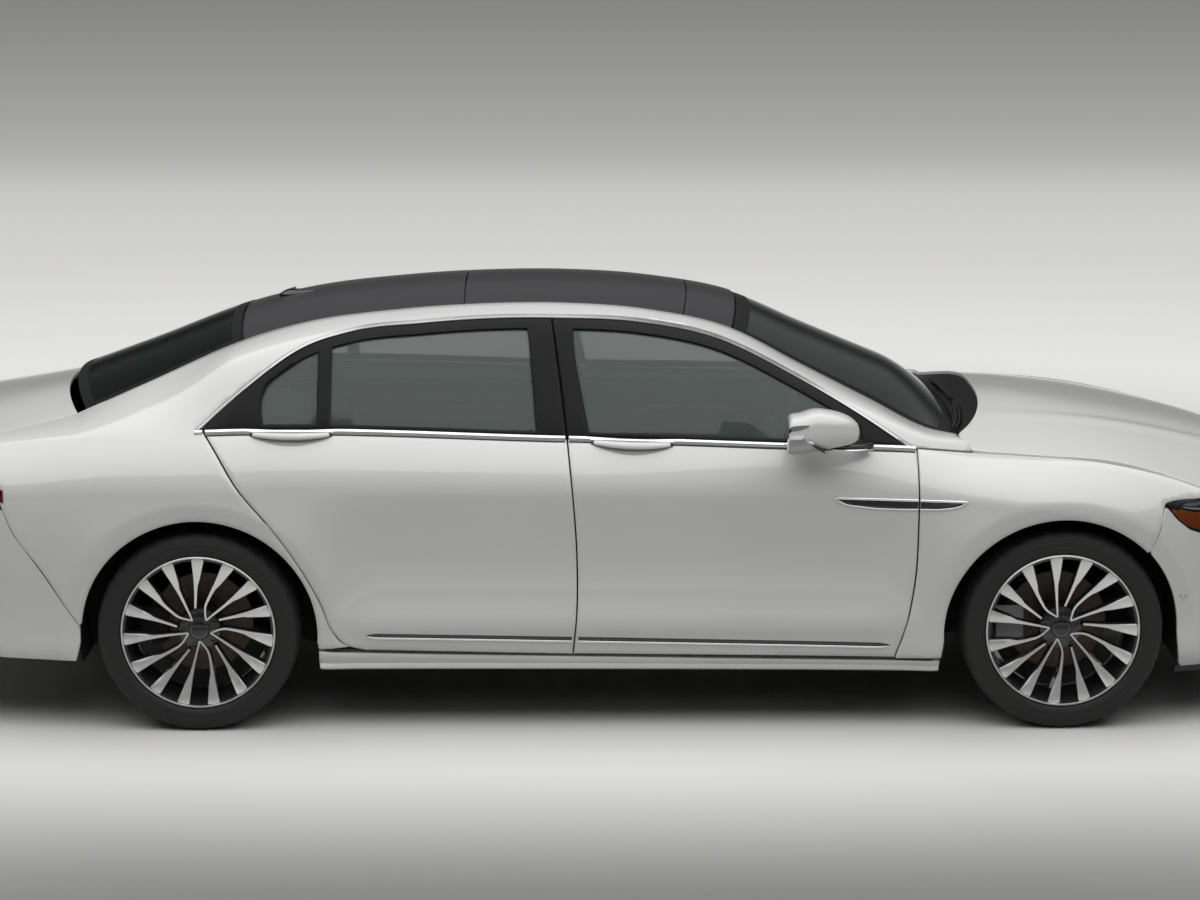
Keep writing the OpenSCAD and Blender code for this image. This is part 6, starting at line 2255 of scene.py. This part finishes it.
    def dashboard(self) -> None:
        """Padded top, wood band, displays, vents, console lid and arm rest."""
        y = np.linspace(-732, 732, 60)
        row = through([(1138, 918), (1062, 958), (960, 949), (880, 939), (826, 911), (804, 884)], 12.0)
        out = np.array([[(x, b, z + 5) for b in y] for x, z in row])
        pad = Forge.sheet("dash_pad", out, out - [0, 0, 9], bevel=2)
        fit(pad, "shell", TRIM)
        band = np.array([[(796 - t * 0.1 - 4 + 14 * (b / 732) ** 2, b, 776 + t) for b in y]
                         for t in (0, 6, 15, 22, 26)])
        fit(Forge.sheet("dash_band", band, band + [10, 0, 0], bevel=2, flip=True), "shell", WOOD)
        for name, spot, size, tilt in (("centre_display", (820, 0, 945), (52, 132, 5), -78),
                                       ("driver_display", (834, 380, 932), (36, 122, 5), -76)):
            Cushion(name, spot, size, tilt, 4.5, 1, cuts=9).build((), "shell", DISPLAY, False)
        slats, rims = [], []
        for mid in (-640, -130, 130, 640):
            for z in (816, 832, 848):
                slats.append(Forge.tube("slat", np.array([[798, mid - 58, z], [798, mid + 58, z]]), 8.0, 8,
                                        flat=0.25, up=np.array([0.2, 0, 1.0])))
            frame_row = [(mid - 63, 805), (mid + 63, 805), (mid + 63, 859), (mid - 63, 859)]
            loop = straight(frame_row + frame_row[:1], 10.0)[:-1]
            loop = np.column_stack([np.full(len(loop), 789.0), loop])
            rims.append(Forge.tube("rim", loop, 3.2, 8, closed=True))
        fit(Forge.join("vent_slats", slats), "shell", SATIN_BLACK)
        fit(Forge.join("vent_rims", rims), "shell", CHROME)
        x = np.linspace(-40, 782, 40)
        lid = np.array([[(a, b, 563 + 7 * (1 - (b / 98) ** 2)) for b in np.linspace(-98, 98, 11)] for a in x])
        fit(Forge.sheet("console_lid", lid, lid * [1, 1, 0] + [0, 0, 555], bevel=2), "shell", WOOD)
        Cushion("console_rest", (-170, 0, 588), (130, 98, 30), 0, 26, 6, cuts=13).build()
        cups = [Forge.turned("cup", [(30, -6), (40, -6), (42, 0), (40, 4), (34, 4), (32, 0)], (c, 0, 0), 1,
                             36) for c in (120, 230)]
        rings = Forge.join("cup_rings", cups)
        rings.data.transform(Matrix.Translation((0, 0, 0.572)) @ Matrix.Rotation(math.radians(90), 4, "X"))
        fit(rings, "shell", CHROME)

    def overhead(self) -> None:
        """Inner mirror and sun visors."""
        Cushion("inner_mirror", (566, 0, 1262), (33, 118, 13), -76, 11, 2, cuts=9).build(
            (), "shell", GLOSS_BLACK, False)
        stem = Forge.tube("mirror_stem", np.array([[572, 0, 1268], [590, 0, 1310], [560, 0, 1352]]), 9.0, 12)
        fit(stem, "shell", SATIN_BLACK)
        for side in Side:
            Cushion(f"sun_visor_{side.word}", (372, 300 * side.value, 1352), (80, 165, 10), 14, 9, 2,
                    cuts=9).build(finish=HIDE.on("trim"))

    def card(self, side: Side, word: str) -> None:
        """Inner card of a door, with arm rest, pocket and pull.

        Args:
            side: side of the car.
            word: front or rear.
        """
        z = np.linspace(322, 968, 44)
        t = np.linspace(0, 1, 50)
        if word == "front":
            low, high = np.full_like(z, -84.0), np.interp(z, [322, 500, 968], [930, 985, 1010])
        else:
            low, high = np.interp(z, [322, 968], [-800, -1270]), np.full_like(z, -196.0)
        x = low[:, None] + (high - low)[:, None] * t[None, :]
        zz = np.tile(z[:, None], (1, 50))
        mid = 0.5 * (t - 0.5) ** 2
        rest = 46 * np.exp(-((zz - 655) / 34) ** 4) * np.clip(1.6 - 2.6 * np.abs(t - 0.5)[None, :], 0, 1)
        pocket = 26 * np.exp(-((zz - 420) / 52) ** 4) * np.clip(1.4 - 2.4 * np.abs(t - 0.52)[None, :], 0, 1)
        sill = 16 * np.clip((zz - 880) / 60, 0, 1)
        y = LINES.lower(x, zz) - self.door_depth - 5 - rest - pocket - sill - 8 * mid
        face = np.stack([x, y, zz], axis=-1)
        back = np.stack([x, LINES.lower(x, zz) - self.door_depth + 4, zz], axis=-1)
        k = side.mirror
        body, tag = f"door_{word}_{side.word}", f"{word}_{side.word}"
        obj = Forge.sheet(f"door_card_{tag}", face * k, back * k, flip=side is Side.RIGHT)
        fit(obj, body, CARD)
        line = face[35, 6:-6] + [0, -4, 0]
        fit(Forge.tube(f"card_band_{tag}", line * k, 15.0, 12, flat=0.3, up=np.array([0, -side.value, 0.1])),
            body, WOOD)
        grip = face[26, 20:34] + np.outer(np.sin(np.linspace(0, math.pi, 14)), [0, -14, 0])
        fit(Forge.tube(f"card_pull_{tag}", grip * k, 8.0, 12), body, SILVER)

    def carpets(self) -> None:
        """Carpets on both sides of the tunnel and in the boot."""
        for side in Side:
            g = self.field(np.linspace(-955, 1140, 44), np.linspace(124, 765, 18))
            g[..., 2] = self.floor + 4 + 3 * np.sin(g[..., 0] / 90) * np.sin(g[..., 1] / 70)
            k = side.mirror
            low = g * [1, 1, 0] + [0, 0, self.floor - 3]
            obj = Forge.sheet(f"floor_carpet_{side.word}", g * k, low * k, flip=side is Side.RIGHT)
            fit(obj, "shell", CARPET)
        g = self.field(np.linspace(-2405, -1005, 36), np.linspace(-536, 536, 28))
        g[..., 2] = 418 + 2 * np.sin(g[..., 0] / 110) * np.sin(g[..., 1] / 90)
        obj = Forge.sheet("boot_carpet", g, g * [1, 1, 0] + [0, 0, 411])
        fit(obj, "shell", CARPET)

    def build(self) -> None:
        """The whole cabin."""
        for side in Side:
            self.front_seat(side)
            for word in ("front", "rear"):
                self.card(side, word)
        self.bench()
        self.steering()
        self.dashboard()
        self.overhead()
        self.carpets()


@dataclass
class Arches:
    """Ribbed liners that close the wheel arches down to the sills."""

    outer: float = 846.0
    low: float = -15.0
    steps: int = 110
    hole: float = 150.0

    def wrap(self, name: str, axle: Axle, side: Side, radius: Array, y: Array, shift: Sequence[float],
             nodes: Sequence[str]) -> None:
        """Sheet round an axle.

        Args:
            name: piece name without the wheel's.
            axle: axle it goes round.
            side: side of the car.
            radius: distance from the axle at each step and place across.
            y: places across.
            shift: thickness outwards from the axle and along Y.
            nodes: nodes stood for.
        """
        a = np.radians(np.linspace(self.low, 180 - self.low, self.steps))[:, None]
        y = np.broadcast_to(y, radius.shape)
        sheets = [np.stack([axle.value + (radius + r) * np.cos(a), y + w,
                            LINES.arch_z + (radius + r) * np.sin(a)], axis=-1) * side.mirror
                  for r, w in ((0.0, 0.0), shift)]
        obj = Forge.sheet(f"{name}_{axle.word}_{side.word}", *sheets, flip=side is Side.RIGHT)
        fit(obj, "shell", LINER, nodes)

    def build(self) -> None:
        """Liners and inner walls of all four wheels."""
        rib = 1.6 * np.cos(np.arange(self.steps) * math.pi / 3)[:, None]
        for side in Side:
            for axle in Axle:
                inner = 492.0 if axle is Axle.FRONT else 588.0
                y = np.linspace(inner, self.outer, 7)[None, :]
                self.wrap("arch_liner", axle, side, LINES.arch_radius + 10 + rib + 0 * y, y, (3.8, 0.0),
                          [f"liner_{axle.word}_{side.word}"])
                r = np.linspace(LINES.arch_radius + 13, self.hole, 6)[None, :] + 0 * rib
                self.wrap("arch_wall", axle, side, r, inner + 2 * rib, (0.0, -4.0), [])


@dataclass
class Studio:
    """Floor, backdrop, soft lights and the camera of the photograph."""

    eye: Tuple[float, float, float] = (-0.147, -12.01, 2.981)
    lens: float = 98.7
    pitch: float = 10.18
    yaw: float = 0.57
    floor: Colour = (0.8, 0.795, 0.77)
    # wall and front colours are painted shade: darker up the backdrop and at the front of the floor.
    wall: Colour = (0.2, 0.198, 0.19)
    front: Colour = (0.2, 0.2, 0.192)
    bend: float = 9200.0
    depth: Pair = (-45000.0, 20700.0)
    half_width: float = 60000.0
    height: float = 36800.0
    surround: Pair = (0.06, 0.5)

    def camera(self) -> None:
        """Camera at the photograph's place."""
        data = bpy.data.cameras.new("studio_camera")
        data.lens = self.lens
        data.sensor_width = 36.0
        data.clip_end = 200.0
        obj = bpy.data.objects.new("studio_camera", data)
        bpy.context.scene.collection.objects.link(obj)
        obj.location = self.eye
        obj.rotation_euler = (math.radians(90 - self.pitch), 0.0, math.radians(-self.yaw))
        bpy.context.scene.camera = obj

    def sweep(self) -> None:
        """Pale floor that curves up into a backdrop, with painted shade that darkens it with height and
        towards the front.
        """
        turn = np.linspace(0.1, math.pi / 2, 14)
        near, far = self.depth
        s = np.concatenate([np.linspace(near, far, 16), far + self.bend * np.sin(turn),
                            np.full(8, far + self.bend)])
        z = np.concatenate([np.full(16, -1.0), self.bend - 1 - self.bend * np.cos(turn),
                            np.linspace(self.bend * 1.25, self.height, 8)])
        x = np.linspace(-self.half_width, self.half_width, 13)
        grid = np.stack([np.stack([np.full_like(s, a), s, z], axis=1) for a in x])
        faces = Forge.over(Forge.grid_faces(*grid.shape[:2]))
        obj = Forge.mesh("studio_sweep", grid.reshape(-1, 3), faces, sharp=80)
        obj.data.materials.append(Backdrop("studio_floor", self.floor, rough=0.7, shift=0.01, scale=0.6,
                                           high=self.wall, near=self.front).material())

    def lamp(self, name: str, place: Sequence[float], aim: Sequence[float], size: Pair, power: float,
             gloss: bool = True) -> None:
        """Soft area light.

        Args:
            name: lamp name.
            place: position in metres.
            aim: point it faces.
            size: width and height in metres.
            power: strength in watts.
            gloss: whether the paint mirrors it.
        """
        data = bpy.data.lights.new(name, "AREA")
        data.shape = "RECTANGLE"
        data.size, data.size_y = size
        data.energy = power
        obj = bpy.data.objects.new(name, data)
        bpy.context.scene.collection.objects.link(obj)
        obj.location = place
        way = Vector(aim) - Vector(place)
        obj.rotation_euler = way.to_track_quat("-Z", "Y").to_euler()
        obj.visible_glossy = gloss

    def world(self) -> None:
        """Dim surroundings, brighter where the camera sees them."""
        world = bpy.data.worlds.new("studio_world")
        world.use_nodes = True
        back = world.node_tree.nodes["Background"]
        back.inputs["Color"].default_value = (0.97, 0.98, 1.0, 1)
        path = world.node_tree.nodes.new("ShaderNodeLightPath")
        share = world.node_tree.nodes.new("ShaderNodeMapRange")
        share.inputs["To Min"].default_value, share.inputs["To Max"].default_value = self.surround
        world.node_tree.links.new(path.outputs["Is Camera Ray"], share.inputs["Value"])
        world.node_tree.links.new(share.outputs["Result"], back.inputs["Strength"])
        bpy.context.scene.world = world

    def build(self) -> None:
        """The whole studio."""
        self.camera()
        self.sweep()
        self.lamp("overhead", (0.0, -2.9, 6.0), (0.0, -2.9, 0.0), (14.0, 10.0), 755.0)
        self.lamp("near_side", (0.0, -12.0, 6.5), (0.0, 0.0, 0.6), (14.0, 3.0), 30.0)
        self.lamp("far_side", (0.0, 10.0, 7.0), (0.0, 0.0, 0.6), (14.0, 4.0), 120.0, gloss=False)
        self.world()
        bpy.context.scene.view_settings.view_transform = "Standard"


def carried() -> None:
    """Finishes of the frame's solids that stay in view."""
    looks: Dict[str, Finish] = {
        "floor_pan": UNDER, "firewall": UNDER, "engine": CAST, "front_subframe": UNDER, "rear_axle": UNDER,
        "tow_socket": STEEL,
        "exhaust": STEEL, "liner": LINER, "dashboard": TRIM, "front_seat": HIDE, "rear_seat": HIDE,
        "steering_wheel": TRIM, "b_pillar": TRIM, "knuckle": CAST, "hood": PEARL, "boot_lid": PEARL}
    for name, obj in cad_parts.items():
        key = max((k for k in looks if name.startswith(k)), key=len, default=None)
        finish = looks[key] if key else TRIM
        obj.data.materials.clear()
        obj.data.materials.append(finish.material())


def main() -> None:
    """Builds every sub-assembly in order."""
    logging.basicConfig(level=logging.INFO, format="%(message)s")
    carried()
    for side in Side:
        SideBody(side).build()
        Lamps(side).build()
        DoorDetails(side).build()
    Canopy().build()
    Cabin().build()
    Arches().build()
    Lids().build()
    Fascias().build()
    for side in Side:
        for axle, turn in ((Axle.FRONT, -17.0), (Axle.REAR, 0.0)):
            Wheel(side, axle, turn=turn).build()
    Studio().build()
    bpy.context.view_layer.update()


if __name__ == "__main__":
    main()
